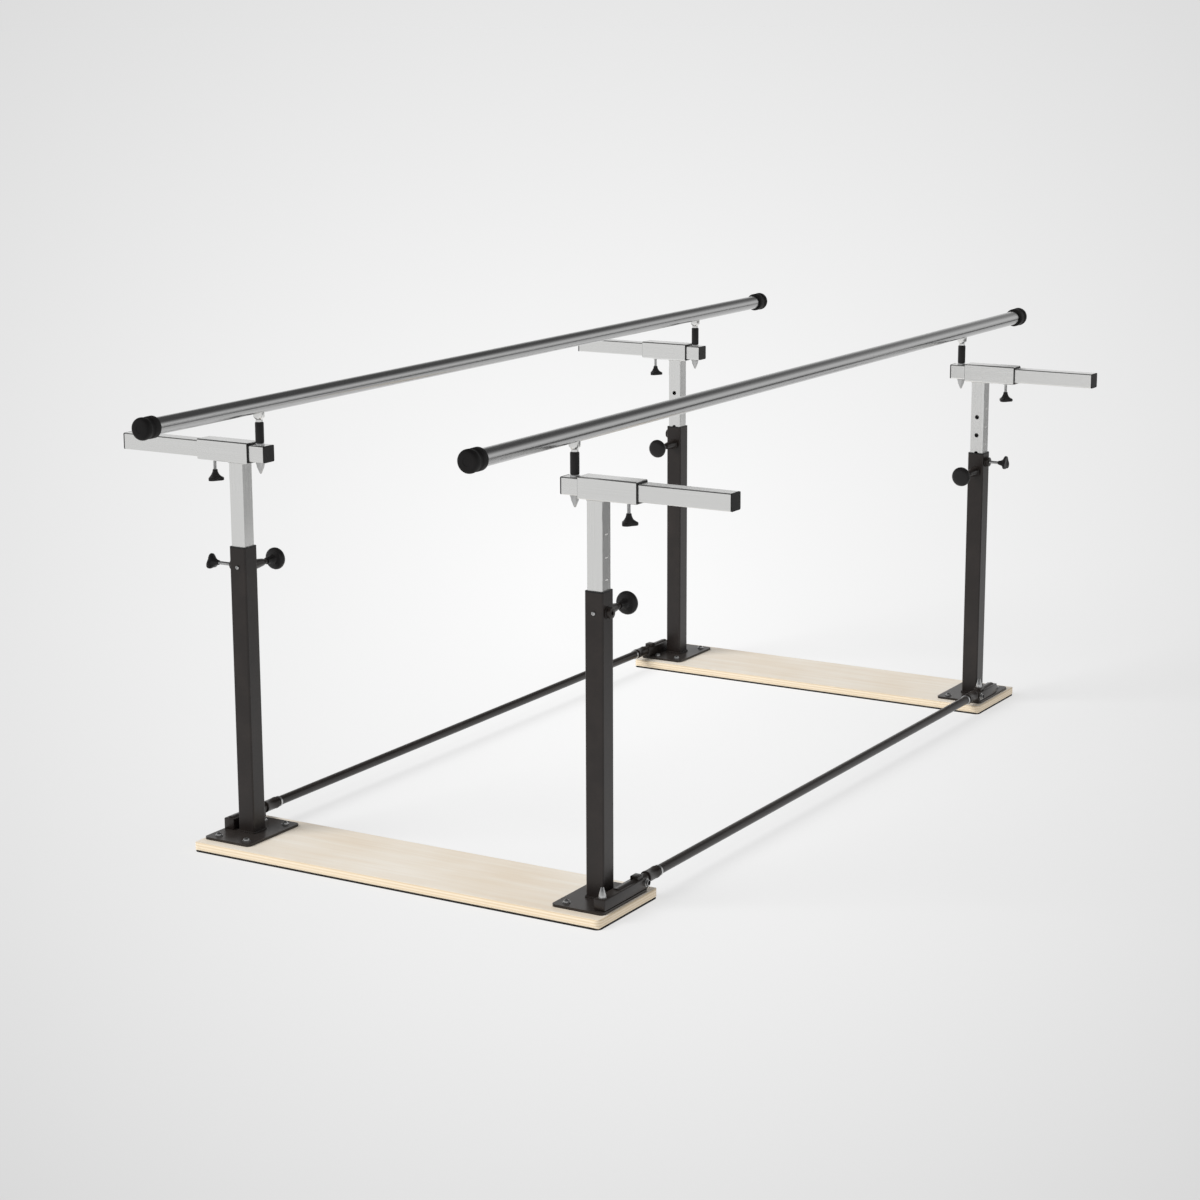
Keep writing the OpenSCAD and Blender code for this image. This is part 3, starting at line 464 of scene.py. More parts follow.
def grown(name, base_mesh, tree, values):
    """Runs a tree on a mesh and keeps the result as a plain mesh object."""
    carrier = bpy.data.objects.new(name + "_carrier", base_mesh)
    bpy.context.scene.collection.objects.link(carrier)
    modifier = carrier.modifiers.new("tree", "NODES")
    modifier.node_group = tree
    for item in tree.interface.items_tree:
        if item.in_out == "INPUT" and item.name in values:
            modifier[item.identifier] = values[item.name]
    graph = bpy.context.evaluated_depsgraph_get()
    mesh = bpy.data.meshes.new_from_object(carrier.evaluated_get(graph), depsgraph=graph)
    mesh.name = name
    bpy.data.objects.remove(carrier)
    made = bpy.data.objects.new(name, mesh)
    bpy.context.scene.collection.objects.link(made)
    return made


REPEAT = repeat_tree()


def repeated(name, pattern, places, material, body, replaced=()):
    """Copies of a pattern at (point, turn) places, as one piece on one body."""
    points = bpy.data.meshes.new(name + "_points")
    points.from_pydata([tuple(p) for p, t in places], [], [])
    turns = points.attributes.new("turn", "FLOAT_VECTOR", "POINT")
    for i, (p, t) in enumerate(places):
        turns.data[i].vector = t
    bpy.context.scene.collection.objects.link(pattern)
    piece = grown(name, points, REPEAT, {"Pattern": pattern, "Size": 1.0, "Material": material})
    bpy.data.objects.remove(pattern)
    settle(piece, body, replaced)
    return piece


coat = powder_coat()
zinc = zinc_plate()
for post in POSTS:
    dress(f"{post}_base_plate", coat)

bolt = bmesh.new()
lathe(bolt, [(0, -16), (4, -16), (4, 0), (8.7, 0), (9, 0.3), (9, 1.2), (8.7, 1.5), (7, 1.5), (7, 2.6),
             (6.7, 3.8), (5.9, 5.0), (4.8, 5.9), (3.6, 6.4), (3.3, 6.5), (2.9, 6.2), (2.8, 4.0), (0, 3.6)],
      segments=32)
bolt_places = []
for post in POSTS:
    flat_bolts = BOLT_PLACES[:-1] if post == "near_right" else BOLT_PLACES
    for number, (x, y) in enumerate(flat_bolts):
        bolt_places.append((post_point(post, x, y, PLATE_TOP), (0, 0, number * 0.7)))
repeated("base_bolts", prototype("base_bolt", bolt), bolt_places, zinc, "base",
         ["base_plate_bolts"])
cone_bolt = bmesh.new()
lathe(cone_bolt, [(0, -42), (4, -42)] + CONE_NUT,
      Matrix.Translation(post_point("near_right", BRACE_X, BOLT_Y, SOCKET_TOP)), 32)
finished("socket_cone_bolt", cone_bolt, zinc, "base", ["base_plate_bolts"])

# Outer uprights
# Welded square tube, powder coated with its plate. A black nylon bush is pushed into the top to
# guide the inner tube, and a bright round screw sits on the end face.
POST_HALF = 22.5
FOOT_WELD = 2.6
LATCH_Z = 657
CLAMP_Z = {"near_left": 661, "near_right": 661, "far_right": 683, "far_left": 683}


def moulded_nylon(name, colour, gloss):
    """Black nylon from a mould, with the fine spark-eroded grain of its tool."""
    material, tree, output = blank_material(name)
    place = add(tree, "ShaderNodeTexCoord").outputs["Object"]
    grain = add(tree, "ShaderNodeTexVoronoi", {"Vector": place, "Scale": 1400.0})
    smear = add(tree, "ShaderNodeTexNoise", {"Vector": place, "Scale": 45.0, "Detail": 4.0})
    tone = add(tree, "ShaderNodeMix", {"Factor": smear.outputs["Fac"], "A": srgb(colour),
                                       "B": srgb("#1C1B1B")}, data_type="RGBA")
    rough = add(tree, "ShaderNodeMapRange", {"Value": smear.outputs["Fac"], "To Min": gloss,
                                             "To Max": gloss + 0.14})
    bump = add(tree, "ShaderNodeBump", {"Height": grain.outputs["Distance"], "Strength": 0.1,
                                        "Distance": 0.0002})
    shader_of(tree, output, tone.outputs["Result"], rough.outputs[0], Normal=bump.outputs[0],
              **{"Specular IOR Level": 0.3})
    return material


def bead_tree():
    """A weld bead along a path: overlapping half-moon ripples, one for each dip of the rod."""
    tree = bpy.data.node_groups.new("weld_bead", "GeometryNodeTree")
    face = tree.interface
    face.new_socket("Path", in_out="INPUT", socket_type="NodeSocketGeometry")
    face.new_socket("Ripple", in_out="INPUT", socket_type="NodeSocketFloat")
    face.new_socket("Radius", in_out="INPUT", socket_type="NodeSocketFloat")
    face.new_socket("Material", in_out="INPUT", socket_type="NodeSocketMaterial")
    face.new_socket("Geometry", in_out="OUTPUT", socket_type="NodeSocketGeometry")
    start = add(tree, "NodeGroupInput")
    line = add(tree, "GeometryNodeMeshToCurve", {"Mesh": start.outputs["Path"]})
    steps = add(tree, "GeometryNodeResampleCurve", {"Curve": line.outputs[0],
                                                    "Length": start.outputs["Ripple"]}, mode="LENGTH")
    drop = add(tree, "GeometryNodeMeshUVSphere", {"Segments": 10, "Rings": 6, "Radius": 1.0})
    along = add(tree, "GeometryNodeInputTangent")
    turned = add(tree, "FunctionNodeAlignRotationToVector", {"Vector": along.outputs[0]}, axis="Z")
    wobble = add(tree, "FunctionNodeRandomValue", {"Min": 0.85, "Max": 1.15, "Seed": 7}, data_type="FLOAT")
    size = add(tree, "ShaderNodeMath", {0: start.outputs["Radius"], 1: wobble.outputs[1]},
               operation="MULTIPLY")
    flat = add(tree, "ShaderNodeCombineXYZ", {0: size.outputs[0], 1: size.outputs[0]})
    thin = add(tree, "ShaderNodeMath", {0: start.outputs["Ripple"], 1: 0.95}, operation="MULTIPLY")
    tree.links.new(thin.outputs[0], flat.inputs[2])
    copies = add(tree, "GeometryNodeInstanceOnPoints", {
        "Points": steps.outputs[0], "Instance": drop.outputs["Mesh"], "Rotation": turned.outputs[0],
        "Scale": flat.outputs[0]})
    real = add(tree, "GeometryNodeRealizeInstances", {"Geometry": copies.outputs[0]})
    smooth = add(tree, "GeometryNodeSetShadeSmooth", {"Geometry": real.outputs[0]})
    coated = add(tree, "GeometryNodeSetMaterial", {"Geometry": smooth.outputs[0],
                                                   "Material": start.outputs["Material"]})
    add(tree, "NodeGroupOutput", {"Geometry": coated.outputs[0]})
    return tree


BEAD = bead_tree()


def welds(name, loops, ripple_mm, radius_mm, material, body):
    """Weld beads along closed loops of points, as one piece."""
    points = []
    edges = []
    for loop in loops:
        first = len(points)
        points += [tuple(p) for p in loop]
        edges += [(first + i, first + (i + 1) % len(loop)) for i in range(len(loop))]
    path_mesh = bpy.data.meshes.new(name + "_path")
    path_mesh.from_pydata(points, edges, [])
    piece = grown(name, path_mesh, BEAD, {"Ripple": ripple_mm * MM, "Radius": radius_mm * MM,
                                          "Material": material})
    settle(piece, body)
    return piece


def square_loop(post, half_mm, z, corner=4):
    """Points of a rounded square round a post's centre."""
    loop = []
    for cx, cy, start in ((1, 1, 0), (-1, 1, 90), (-1, -1, 180), (1, -1, 270)):
        for k in range(4):
            a = math.radians(start + 30 * k)
            loop.append(post_point(post, cx * (half_mm - corner) + corner * math.cos(a),
                                   cy * (half_mm - corner) + corner * math.sin(a), z))
    return loop


nylon = moulded_nylon("black_nylon", "#171616", 0.42)
for post in POSTS:
    dress(f"{post}_outer_upright", coat)
dress("guide_bushes", nylon)
dress("plunger_springs", zinc)
welds("foot_welds", [square_loop(p, POST_HALF + 1.1, PLATE_TOP + 1.4) for p in POSTS], FOOT_WELD, FOOT_WELD,
      coat, "base")


def facing(x, y, z):
    """The turn that takes +Z to a direction."""
    return tuple(Vector((x, y, z)).to_track_quat("Z", "Y").to_euler())


screw = bmesh.new()
lathe(screw, [(0, -1.8), (2.4, -1.8), (2.4, 0), (4.8, 0), (5, 0.3), (5, 1.5), (4.5, 2.7), (3.5, 3.5),
              (2.2, 3.95), (1.5, 4.0), (1.3, 2.6), (0, 2.4)], segments=32)
repeated("end_face_screws", prototype("end_face_screw", screw),
         [(post_point(p, 0, POST_HALF, LATCH_Z + 4), facing(0, POSTS[p][1], 0)) for p in POSTS],
         zinc, "base", ["upright_screws"])

# Clamp bosses
# A turned steel boss welded to the side of each post takes the stud of the side clamp.
boss = bmesh.new()
lathe(boss, [(4.1, 0), (12.5, 0), (12.5, 9.6), (11.6, 10.7), (11, 11), (5.0, 11), (4.1, 10.1)])
repeated("clamp_bosses_turned", prototype("clamp_boss", boss),
         [(post_point(p, POST_HALF, 0, CLAMP_Z[p]), facing(POSTS[p][0], 0, 0)) for p in POSTS],
         coat, "base", ["clamp_bosses"])


def ring_loop(centre, normal, radius_mm, count=24):
    """Points of a circle round an axis."""
    turned = Vector(normal).to_track_quat("Z", "Y").to_matrix()
    loop = []
    for k in range(count):
        a = 2 * math.pi * k / count
        loop.append(centre + turned @ Vector((math.cos(a), math.sin(a), 0)) * radius_mm * MM)
    return loop


welds("boss_welds", [ring_loop(post_point(p, POST_HALF + 0.5, 0, CLAMP_Z[p]), (POSTS[p][0], 0, 0), 12.7)
                     for p in POSTS],
      1.8, 1.6, coat, "base")

# Plunger barrels
# A tapered steel barrel on the face toward the middle of the walkway guides the locking pin and
# holds its spring.
barrel = bmesh.new()
lathe(barrel, [(5.1, 20.8), (8, 20.8), (8, 22.5), (13.6, 22.5), (14, 22.9), (14, 27.4), (13.4, 28.3),
               (13, 28.5), (12.6, 31), (12.2, 36), (11.6, 42), (10.9, 50), (10.1, 58), (9.1, 66),
               (8.3, 70.6), (7.8, 71.7), (7, 72), (5.8, 72.4), (5.8, 93.4), (5.3, 94), (3.1, 94),
               (3.1, 62), (6.5, 62), (6.5, 32), (5.1, 32)])
repeated("plunger_barrels_turned", prototype("plunger_barrel", barrel),
         [(post_point(p, 0, 0, LATCH_Z), facing(0, -POSTS[p][1], 0)) for p in POSTS],
         coat, "base", ["plunger_barrels"])

# Side braces
# A black tube low along each side joins the near and far plates. Each end sits in a steel socket
# beside the post, with a small raised block, a bright clamp bolt and a collar beside it. The near
# right socket runs on to the front end of its plate, and the far right one has a cone nut on top.
BRACE_Z = 47.5
BRACE_LENGTH = 2070
SOCKET_X = (36, 64)
SOCKET_MOUTH = -100
SOCKET_END = 24
LONG_SOCKET_END = 88
BLOCK_TOP = 64


def tube_tree():
    """A straight tube along Y with a wall, from its length and its two radii."""
    tree = bpy.data.node_groups.new("straight_tube", "GeometryNodeTree")
    face = tree.interface
    face.new_socket("Geometry", in_out="INPUT", socket_type="NodeSocketGeometry")
    for label in ("Length", "Outer Radius", "Inner Radius", "Chamfer"):
        face.new_socket(label, in_out="INPUT", socket_type="NodeSocketFloat")
    face.new_socket("Centre", in_out="INPUT", socket_type="NodeSocketVector")
    face.new_socket("Material", in_out="INPUT", socket_type="NodeSocketMaterial")
    face.new_socket("Geometry", in_out="OUTPUT", socket_type="NodeSocketGeometry")
    start = add(tree, "NodeGroupInput")
    end = add(tree, "ShaderNodeMath", {0: start.outputs["Length"], 1: 0.5}, operation="MULTIPLY")
    back = add(tree, "ShaderNodeMath", {0: start.outputs["Length"], 1: -0.5}, operation="MULTIPLY")
    first = add(tree, "ShaderNodeCombineXYZ", {1: back.outputs[0]})
    last = add(tree, "ShaderNodeCombineXYZ", {1: end.outputs[0]})
    line = add(tree, "GeometryNodeCurvePrimitiveLine", {"Start": first.outputs[0], "End": last.outputs[0]})
    steps = add(tree, "GeometryNodeResampleCurve", {"Curve": line.outputs[0], "Count": 40})
    outer = add(tree, "GeometryNodeCurvePrimitiveCircle", {"Resolution": 64,
                                                           "Radius": start.outputs["Outer Radius"]})
    skin = add(tree, "GeometryNodeCurveToMesh", {"Curve": steps.outputs[0],
                                                 "Profile Curve": outer.outputs[0]})
    inner = add(tree, "GeometryNodeCurvePrimitiveCircle", {"Resolution": 64,
                                                           "Radius": start.outputs["Inner Radius"]})
    bore = add(tree, "GeometryNodeCurveToMesh", {"Curve": steps.outputs[0],
                                                 "Profile Curve": inner.outputs[0]})
    turned = add(tree, "GeometryNodeFlipFaces", {"Mesh": bore.outputs[0]})
    both = add(tree, "GeometryNodeJoinGeometry")
    tree.links.new(turned.outputs[0], both.inputs[0])
    tree.links.new(skin.outputs[0], both.inputs[0])
    placed = add(tree, "GeometryNodeTransform", {"Geometry": both.outputs[0],
                                                 "Translation": start.outputs["Centre"]})
    smooth = add(tree, "GeometryNodeSetShadeSmooth", {"Geometry": placed.outputs[0]})
    real = add(tree, "GeometryNodeRealizeInstances", {"Geometry": smooth.outputs[0]})
    coated = add(tree, "GeometryNodeSetMaterial", {"Geometry": real.outputs[0],
                                                   "Material": start.outputs["Material"]})
    add(tree, "NodeGroupOutput", {"Geometry": coated.outputs[0]})
    return tree


TUBE = tube_tree()


def long_tube(name, centre, length_mm, outer_mm, inner_mm, material, body, replaced):
    """A straight round tube along the walkway, its ends closed between skin and bore."""
    made = grown(name, bpy.data.meshes.new(name + "_base"), TUBE, {
        "Length": length_mm * MM, "Outer Radius": outer_mm * MM, "Inner Radius": inner_mm * MM,
        "Centre": centre, "Material": material})
    bm = bmesh.new()
    bm.from_mesh(made.data)
    bpy.data.objects.remove(made)
    rims = [e for e in bm.edges if e.is_boundary]
    bmesh.ops.bridge_loops(bm, edges=[e for e in rims if e.verts[0].co.y < centre[1]])
    bmesh.ops.bridge_loops(bm, edges=[e for e in rims if e.verts[0].co.y > centre[1]])
    return finished(name, bm, material, body, replaced)


def aimed(point, direction):
    """A place at a point with its Z axis along a direction."""
    return Matrix.Translation(point) @ Vector(direction).to_track_quat("Z", "Y").to_matrix().to_4x4()


def block(bm, low, high, place, bevel_mm=1.5):
    """A block between two corners in millimetres from a post, with rounded edges."""
    corners = []
    for x in (low[0], high[0]):
        for y in (low[1], high[1]):
            for z in (low[2], high[2]):
                corners.append(bm.verts.new(place(x, y, z)))
    faces = [(0, 1, 3, 2), (4, 6, 7, 5), (0, 4, 5, 1), (2, 3, 7, 6), (0, 2, 6, 4), (1, 5, 7, 3)]
    made = [bm.faces.new([corners[i] for i in f]) for f in faces]
    bmesh.ops.recalc_face_normals(bm, faces=made)
    edges = {e for f in made for e in f.edges}
    bmesh.ops.bevel(bm, geom=list(edges), offset=bevel_mm * MM, segments=3, affect="EDGES", profile=0.5)


for side, name in ((-1, "left"), (1, "right")):
    long_tube(f"{name}_brace_tube", Vector((side * (POST_X + BRACE_X * MM), 0, BRACE_Z * MM)),
              BRACE_LENGTH, 11, 9, coat, "base", [f"{name}_brace"])
sockets = bmesh.new()
for post in POSTS:
    def at(x, y, z, post=post):
        return post_point(post, x, y, z)
    closed_end = LONG_SOCKET_END if post == "near_right" else SOCKET_END
    block(sockets, (SOCKET_X[0], SOCKET_MOUTH, PLATE_TOP), (SOCKET_X[1], closed_end, SOCKET_TOP), at, 2.2)
    block(sockets, (BRACE_X - 10, -84, SOCKET_TOP - 1), (BRACE_X + 10, -60, BLOCK_TOP), at, 1.6)
finished("brace_sockets_welded", sockets, coat, "base", ["brace_sockets"])
collars = bmesh.new()
rings = bmesh.new()
for post in POSTS:
    sy = POSTS[post][1]
    along = aimed(post_point(post, BRACE_X, 0, BRACE_Z), (0, -sy, 0))
    lathe(collars, [(11, 110), (13.2, 110), (14, 111), (14, 114), (13.4, 115), (13.4, 150), (14, 151),
                    (14, 155), (13.2, 156), (11, 156)], along)
    lathe(rings, [(11, 162), (12.6, 162), (13, 162.6), (13, 167.4), (12.6, 168), (11, 168)], along)
    out = aimed(post_point(post, SOCKET_X[1], -91, 43.5), (POSTS[post][0], 0, 0))
    lathe(rings, [(0, -4), (4, -4), (4, 0), (9, 0), (9, 1.5), (6.4, 1.5), (6.4, 6.3), (5.6, 6.8),
                  (0, 6.8)], out, 32)
    lathe(rings, [(0, 1.5), (7.5, 1.5), (7.5, 5.9), (6.6, 6.8), (0, 6.8)], out, 6)
    if post == "far_right":
        up = Matrix.Translation(post_point(post, BRACE_X, -72, BLOCK_TOP))
        lathe(rings, [(0, -5), (4, -5)] + CONE_NUT, up, 32)
finished("brace_collars_turned", collars, coat, "base", ["brace_collars"])
finished("brace_fittings_bright", rings, zinc, "base", ["brace_fittings"])

# Inner uprights, sleeves and their liners
# Chromed square tube with a row of height holes slides in each post. A larger chromed tube is
# welded across its top to take the arm, with nylon liners in both ends.
SLEEVE_BOTTOM = 903
INNER_HALF = 19
MARK_Z = (731, 779, 829)
MARK_LENGTH = 11
MARK_HEIGHT = 2.4
MARK_FILM = 0.06


def bright_chrome(name, along, pale="#F4F4F3", dark="#E2E2E0", rough=0.2):
    """Chrome plate over drawn tube: a hard mirror softened by fine draw lines along the tube."""
    material, tree, output = blank_material(name)
    place = add(tree, "ShaderNodeTexCoord").outputs["Object"]
    lines_at = add(tree, "ShaderNodeMapping", {"Vector": place, "Scale": along})
    lines = add(tree, "ShaderNodeTexNoise", {"Vector": lines_at.outputs[0], "Scale": 1.0, "Detail": 5.0,
                                             "Roughness": 0.6})
    haze = add(tree, "ShaderNodeTexNoise", {"Vector": place, "Scale": 7.0, "Detail": 4.0})
    tone = add(tree, "ShaderNodeMix", {"Factor": lines.outputs["Fac"], "A": srgb(dark), "B": srgb(pale)},
               data_type="RGBA")
    spread = add(tree, "ShaderNodeMath", {0: lines.outputs["Fac"], 1: haze.outputs["Fac"]},
                 operation="MULTIPLY")
    dull = add(tree, "ShaderNodeMapRange", {"Value": spread.outputs[0], "From Max": 0.5, "To Min": rough,
                                            "To Max": rough + 0.12})
    bump = add(tree, "ShaderNodeBump", {"Height": lines.outputs["Fac"], "Strength": 0.035,
                                        "Distance": 0.0004})
    shader_of(tree, output, tone.outputs["Result"], dull.outputs[0], Metallic=1.0, Normal=bump.outputs[0])
    return material


def baked_enamel():
    """White enamel baked on metal for the height marks: a thin film, slightly uneven in tone."""
    material, tree, output = blank_material("white_baked_enamel")
    place = add(tree, "ShaderNodeTexCoord").outputs["Object"]
    film = add(tree, "ShaderNodeTexNoise", {"Vector": place, "Scale": 420.0, "Detail": 3.0})
    tone = add(tree, "ShaderNodeMix", {"Factor": film.outputs["Fac"], "A": srgb("#DCDBD8"),
                                       "B": srgb("#F2F1EE")}, data_type="RGBA")
    rough = add(tree, "ShaderNodeMapRange", {"Value": film.outputs["Fac"], "To Min": 0.3, "To Max": 0.5})
    shader_of(tree, output, tone.outputs["Result"], rough.outputs[0])
    return material


enamel = baked_enamel()
chrome_up = bright_chrome("chromed_upright_tube", (900.0, 900.0, 4.0))
chrome_across = bright_chrome("chromed_arm_tube", (4.0, 900.0, 900.0))
for post in POSTS:
    dress(f"{post}_inner_upright", chrome_up)
    dress(f"{post}_arm_sleeve", chrome_across)
for side in ("left", "right"):
    dress(f"{side}_lift_glides", nylon)
    ours = [p for p in POSTS if p.endswith(side)]
    seams = [square_loop(p, INNER_HALF + 0.6, SLEEVE_BOTTOM - 1.2) for p in ours]
    welds(f"{side}_sleeve_welds", seams, 1.7, 1.6, chrome_across, f"{side}_lift")
    marks = bmesh.new()
    for post in ours:
        def at(x, y, z, post=post):
            return post_point(post, x, y, z)
        for z in MARK_Z:
            block(marks, (INNER_HALF - 0.1, -MARK_LENGTH / 2, z - MARK_HEIGHT / 2),
                  (INNER_HALF + MARK_FILM, MARK_LENGTH / 2, z + MARK_HEIGHT / 2), at, 0.05)
    finished(f"{side}_height_marks", marks, enamel, f"{side}_lift")

# Arms and their plugs
# The arm that slides in each sleeve sets the width. It is the same chromed tube, with a black
# nylon plug flush in each end.
for post in POSTS:
    dress(f"{post}_arm_tube", chrome_across)
for side in ("left", "right"):
    dress(f"{side}_arm_plugs", nylon)

# Rail pins, spacers and nuts
# A chromed pin with a cradle carries each handrail. A black spacer sets its height over the arm
# and a bright cone nut holds it from below.
RAIL_X = 0.416
RAIL_Z = 1037
RAIL_RADIUS = 19
RAIL_LENGTH = 2850
CAP_START = 1.386
chrome_small = bright_chrome("chromed_pin", (300.0, 300.0, 300.0), rough=0.16)


def cradle(bm, place):
    """The pin's head, cut to the round of the handrail."""
    rings = []
    count = 48
    for r, z in ((0, 998), (6.6, 998), (8, 999), (8, 1004), (12.2, 1009), (13, 1010.5), (13, None),
                 (0, None)):
        if r == 0:
            top = RAIL_Z - RAIL_RADIUS if z is None else z
            rings.append([bm.verts.new(place @ Vector((0, 0, top * MM)))])
            continue
        ring = []
        for i in range(count):
            a = 2 * math.pi * i / count
            x = r * math.cos(a)
            top = RAIL_Z - math.sqrt(RAIL_RADIUS ** 2 - x ** 2) + 0.02 if z is None else z
            ring.append(bm.verts.new(place @ Vector((x * MM, r * MM * math.sin(a), top * MM))))
        rings.append(ring)
    for low, high in zip(rings, rings[1:]):
        for i in range(count):
            j = (i + 1) % count
            if len(low) == 1:
                bm.faces.new((low[0], high[j], high[i]))
            elif len(high) == 1:
                bm.faces.new((low[i], low[j], high[0]))
            else:
                bm.faces.new((low[i], low[j], high[j], high[i]))


for side, sx in (("left", -1), ("right", 1)):
    pins = bmesh.new()
    spacers = bmesh.new()
    nuts = bmesh.new()
    for sy in (-1, 1):
        stand = Matrix.Translation((sx * RAIL_X, sy * POST_Y, 0))
        cradle(pins, stand)
        lathe(pins, [(0, 897), (5.5, 897), (6, 898), (6, 1003), (0, 1003)], stand, 32)
        lathe(spacers, [(6.05, 951), (9.4, 951), (10, 951.8), (10, 996.4), (9.2, 997.8),
                        (6.05, 998)], stand)
        lathe(nuts, [(6.05, 946), (10.5, 946), (10.5, 948.4), (9.2, 950.6), (8.4, 951),
                     (6.05, 951)], stand)
        lathe(nuts, [(0, 880), (1.5, 880), (2.5, 881), (5.4, 888.4), (8.2, 895), (9, 900), (11, 906),
                     (11, 908), (0, 908)], stand)
        lathe(nuts, [(0, 900), (9.4, 900), (10, 901), (10, 906.5), (0, 906.5)], stand, 6)
    body = f"{side}_rail"
    finished(f"{side}_rail_pins_chromed", pins, chrome_small, body, [f"{side}_rail_pins"])
    finished(f"{side}_rail_spacers_turned", spacers, nylon, body, [f"{side}_rail_spacers"])
    finished(f"{side}_rail_cone_nuts", nuts, zinc, body, [f"{side}_rail_nuts"])

# Handrails and their end caps
# Long polished tube for the hands, closed at both ends by a thick rubber cap with a deep groove.
chrome_rail = bright_chrome("polished_handrail", (700.0, 1.2, 700.0), pale="#BABABA", dark="#A6A6A6",
                            rough=0.14)
cap_rubber = moulded_rubber("moulded_cap_rubber", "#121111", 0.9)
CAP_OUTLINE = [(19.05, 0), (23.6, 0), (24.3, 0.4), (24.5, 1.2), (24.5, 16.2), (24.2, 17.4), (23.4, 18.6),
               (23, 20), (23, 26.4), (23.4, 27.8), (24.4, 29.4), (24.9, 31.4), (25, 33.8), (24.9, 37.2),
               (24.3, 39.8), (23.2, 42.2), (21.4, 43.9), (18.6, 44.8), (15.5, 45), (9.0, 45), (8.4, 44.4),
               (0, 44.2), (0, 39), (19.05, 39)]
for side, sx in (("left", -1), ("right", 1)):
    body = f"{side}_rail"
    long_tube(f"{side}_handrail_tube", Vector((sx * RAIL_X, 0, RAIL_Z * MM)), RAIL_LENGTH, RAIL_RADIUS, 17,
              chrome_rail, body, [f"{side}_handrail"])
    caps = bmesh.new()
    for sy in (-1, 1):
        out = aimed((sx * RAIL_X, sy * CAP_START, RAIL_Z * MM), (0, sy, 0))
        lathe(caps, CAP_OUTLINE, out, 64)
    finished(f"{side}_rail_caps_moulded", caps, cap_rubber, body, [f"{side}_rail_end_caps"])

# Plunger knobs
# A black mushroom knob moulded on the end of each locking pin. Pulled out and parked, the pin
# lets the inner upright slide.
knob_plastic = moulded_nylon("black_knob_plastic", "#141313", 0.34)
PLUNGER = [(0, 19.4), (4, 19.4), (5, 20.4), (5, 43), (6.2, 43), (6.2, 46), (3, 46), (3, 108), (6.1, 108),
           (6.1, 84), (7.6, 84), (8.1, 84.6), (8.3, 95), (8.8, 101), (9.8, 105), (11.6, 107.6), (15, 109),
           (19.4, 109.9), (22.6, 111.2), (24.8, 113.4), (25.8, 116), (26, 118.6), (25.6, 121),
           (24.4, 123.6), (22, 126), (18.6, 127.8), (14, 128.9), (8, 129.4), (0, 129.5)]
for post, (sx, sy) in POSTS.items():
    knob = bmesh.new()
    toward = aimed(post_point(post, 0, 0, LATCH_Z), (0, -sy, 0))
    lathe(knob, PLUNGER, toward, 64)
    finished(f"{post}_plunger_knob", knob, knob_plastic, f"{post}_plunger_body",
             [f"{post}_plunger"])

# Clamp knobs and studs
# Three-lobed black knobs moulded on threaded studs: one on the side of each post against the
# inner tube, and one under each sleeve against the arm.
STUD_PITCH = 1.25
KNOB_RADIUS = 20
SIDE_KNOB_HEIGHT = 24
SIDE_KNOB_START = 59
SIDE_STUD_TIP = 19.4
ARM_KNOB_HEIGHT = 25
ARM_STUD_TIP = -28.6


def lobed_knob(bm, radius, height, place):
    """A flared hub that opens into three rounded lobes, hub at z = 0 and lobes at the far end."""
    count = 96
    levels = [(0.0, 5.0, 0), (0.02, 5.5, 0), (0.2, 6.3, 0), (0.31, 7.2, 0), (0.41, 8.5, 0),
              (0.5, 9.6, 0.03), (0.58, 10.6, 0.14), (0.65, 11.4, 0.36), (0.71, 12.2, 0.66),
              (0.745, 12.8, 0.86), (0.775, 13, 0.95), (0.82, 13, 1.0), (0.93, 13, 1.0), (0.97, 13, 0.98),
              (1.0, 13, 0.93)]
    rings = []
    for t, hub, share in levels:
        ring = []
        for i in range(count):
            a = 2 * math.pi * i / count
            lobe = radius * (0.845 - 0.155 * math.sin(3 * a))
            r = hub * (1 - share) + lobe * share
            ring.append(bm.verts.new(
                place @ Vector((r * MM * math.cos(a), r * MM * math.sin(a), t * height * MM))))
        rings.append(ring)
    for low, high in zip(rings, rings[1:]):
        for i in range(count):
            j = (i + 1) % count
            bm.faces.new((low[i], low[j], high[j], high[i]))
    under = bm.verts.new(place @ Vector((0, 0, 0)))
    dish = []
    for r, z in ((0.55, 1.0), (0.5, 0.985), (0.0, 0.96)):
        if r == 0.0:
            dish.append([bm.verts.new(place @ Vector((0, 0, z * height * MM)))])
            continue
        dish.append([bm.verts.new(place @ Vector((r * radius * MM * math.cos(2 * math.pi * i / count),
                                                  r * radius * MM * math.sin(2 * math.pi * i / count),
                                                  z * height * MM))) for i in range(count)])
    for i in range(count):
        j = (i + 1) % count
        bm.faces.new((under, rings[0][j], rings[0][i]))
        bm.faces.new((rings[-1][i], rings[-1][j], dish[0][j], dish[0][i]))
        bm.faces.new((dish[0][i], dish[0][j], dish[1][j], dish[1][i]))
        bm.faces.new((dish[1][i], dish[1][j], dish[2][0]))


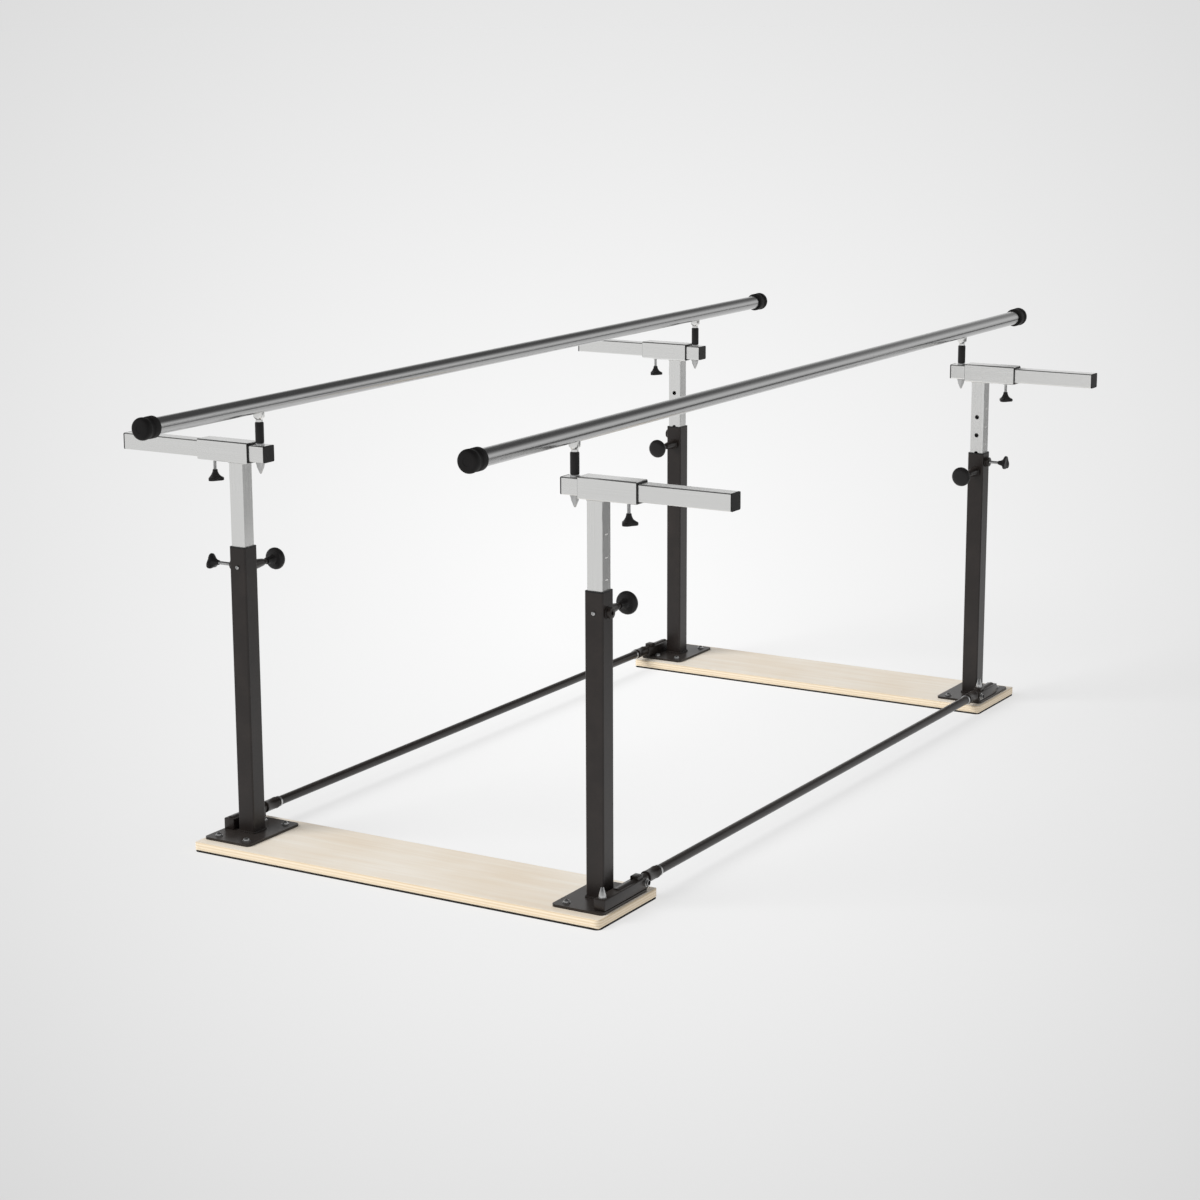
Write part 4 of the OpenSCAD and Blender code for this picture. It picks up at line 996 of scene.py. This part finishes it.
def threaded(bm, start, end, place):
    """A stud with a cut thread, as one closed screw surface with its tip chamfered."""
    count = 32
    step = STUD_PITCH / 4
    rows = int((end - start) / step)
    rings = []
    for k in range(rows + 1):
        z = start + step * k
        ring = []
        for i in range(count):
            a = 2 * math.pi * i / count
            phase = (z / STUD_PITCH - i / count) % 1.0
            r = 4.0 - 0.6 * abs(2 * phase - 1)
            if z - start < 1.2:
                r = min(r, 3.0 + (z - start))
            ring.append(bm.verts.new(place @ Vector((r * MM * math.cos(a), r * MM * math.sin(a), z * MM))))
        rings.append(ring)
    tip = bm.verts.new(place @ Vector((0, 0, start * MM)))
    root = bm.verts.new(place @ Vector((0, 0, (start + step * rows) * MM)))
    for low, high in zip(rings, rings[1:]):
        for i in range(count):
            j = (i + 1) % count
            bm.faces.new((low[i], low[j], high[j], high[i]))
    for i in range(count):
        j = (i + 1) % count
        bm.faces.new((tip, rings[0][j], rings[0][i]))
        bm.faces.new((rings[-1][i], rings[-1][j], root))


SCREWED_OUT = {"near_left": 12, "near_right": None, "far_right": 0, "far_left": None}
ARM_CLAMP_X = 73.5
ARM_CLAMP_Z = 879
for post, (sx, sy) in POSTS.items():
    back = SCREWED_OUT[post]
    across = aimed(post_point(post, 0, 0, CLAMP_Z[post]), (sx, 0, 0))
    body = f"{post}_side_clamp_body"
    if back is not None:
        knob = bmesh.new()
        lobed_knob(knob, KNOB_RADIUS, SIDE_KNOB_HEIGHT,
                   across @ Matrix.Translation((0, 0, (SIDE_KNOB_START + back) * MM)))
        finished(f"{post}_side_clamp_knob", knob, knob_plastic, body,
                 [f"{post}_side_clamp"], 40)
        stud = bmesh.new()
        threaded(stud, SIDE_STUD_TIP + back, SIDE_KNOB_START + 1 + back, across)
        finished(f"{post}_side_clamp_stud", stud, zinc, body, sharp=60)
    under_sleeve = Matrix.Translation(post_point(post, ARM_CLAMP_X, 0, ARM_CLAMP_Z))
    down = under_sleeve @ Matrix.Rotation(math.pi, 4, "X")
    body = f"{post}_arm_clamp_body"
    knob = bmesh.new()
    lobed_knob(knob, KNOB_RADIUS, ARM_KNOB_HEIGHT, down)
    finished(f"{post}_arm_clamp_knob", knob, knob_plastic, body,
             [f"{post}_arm_clamp"], 40)
    stud = bmesh.new()
    threaded(stud, ARM_STUD_TIP, 1, down)
    finished(f"{post}_arm_clamp_stud", stud, zinc, body, sharp=60)
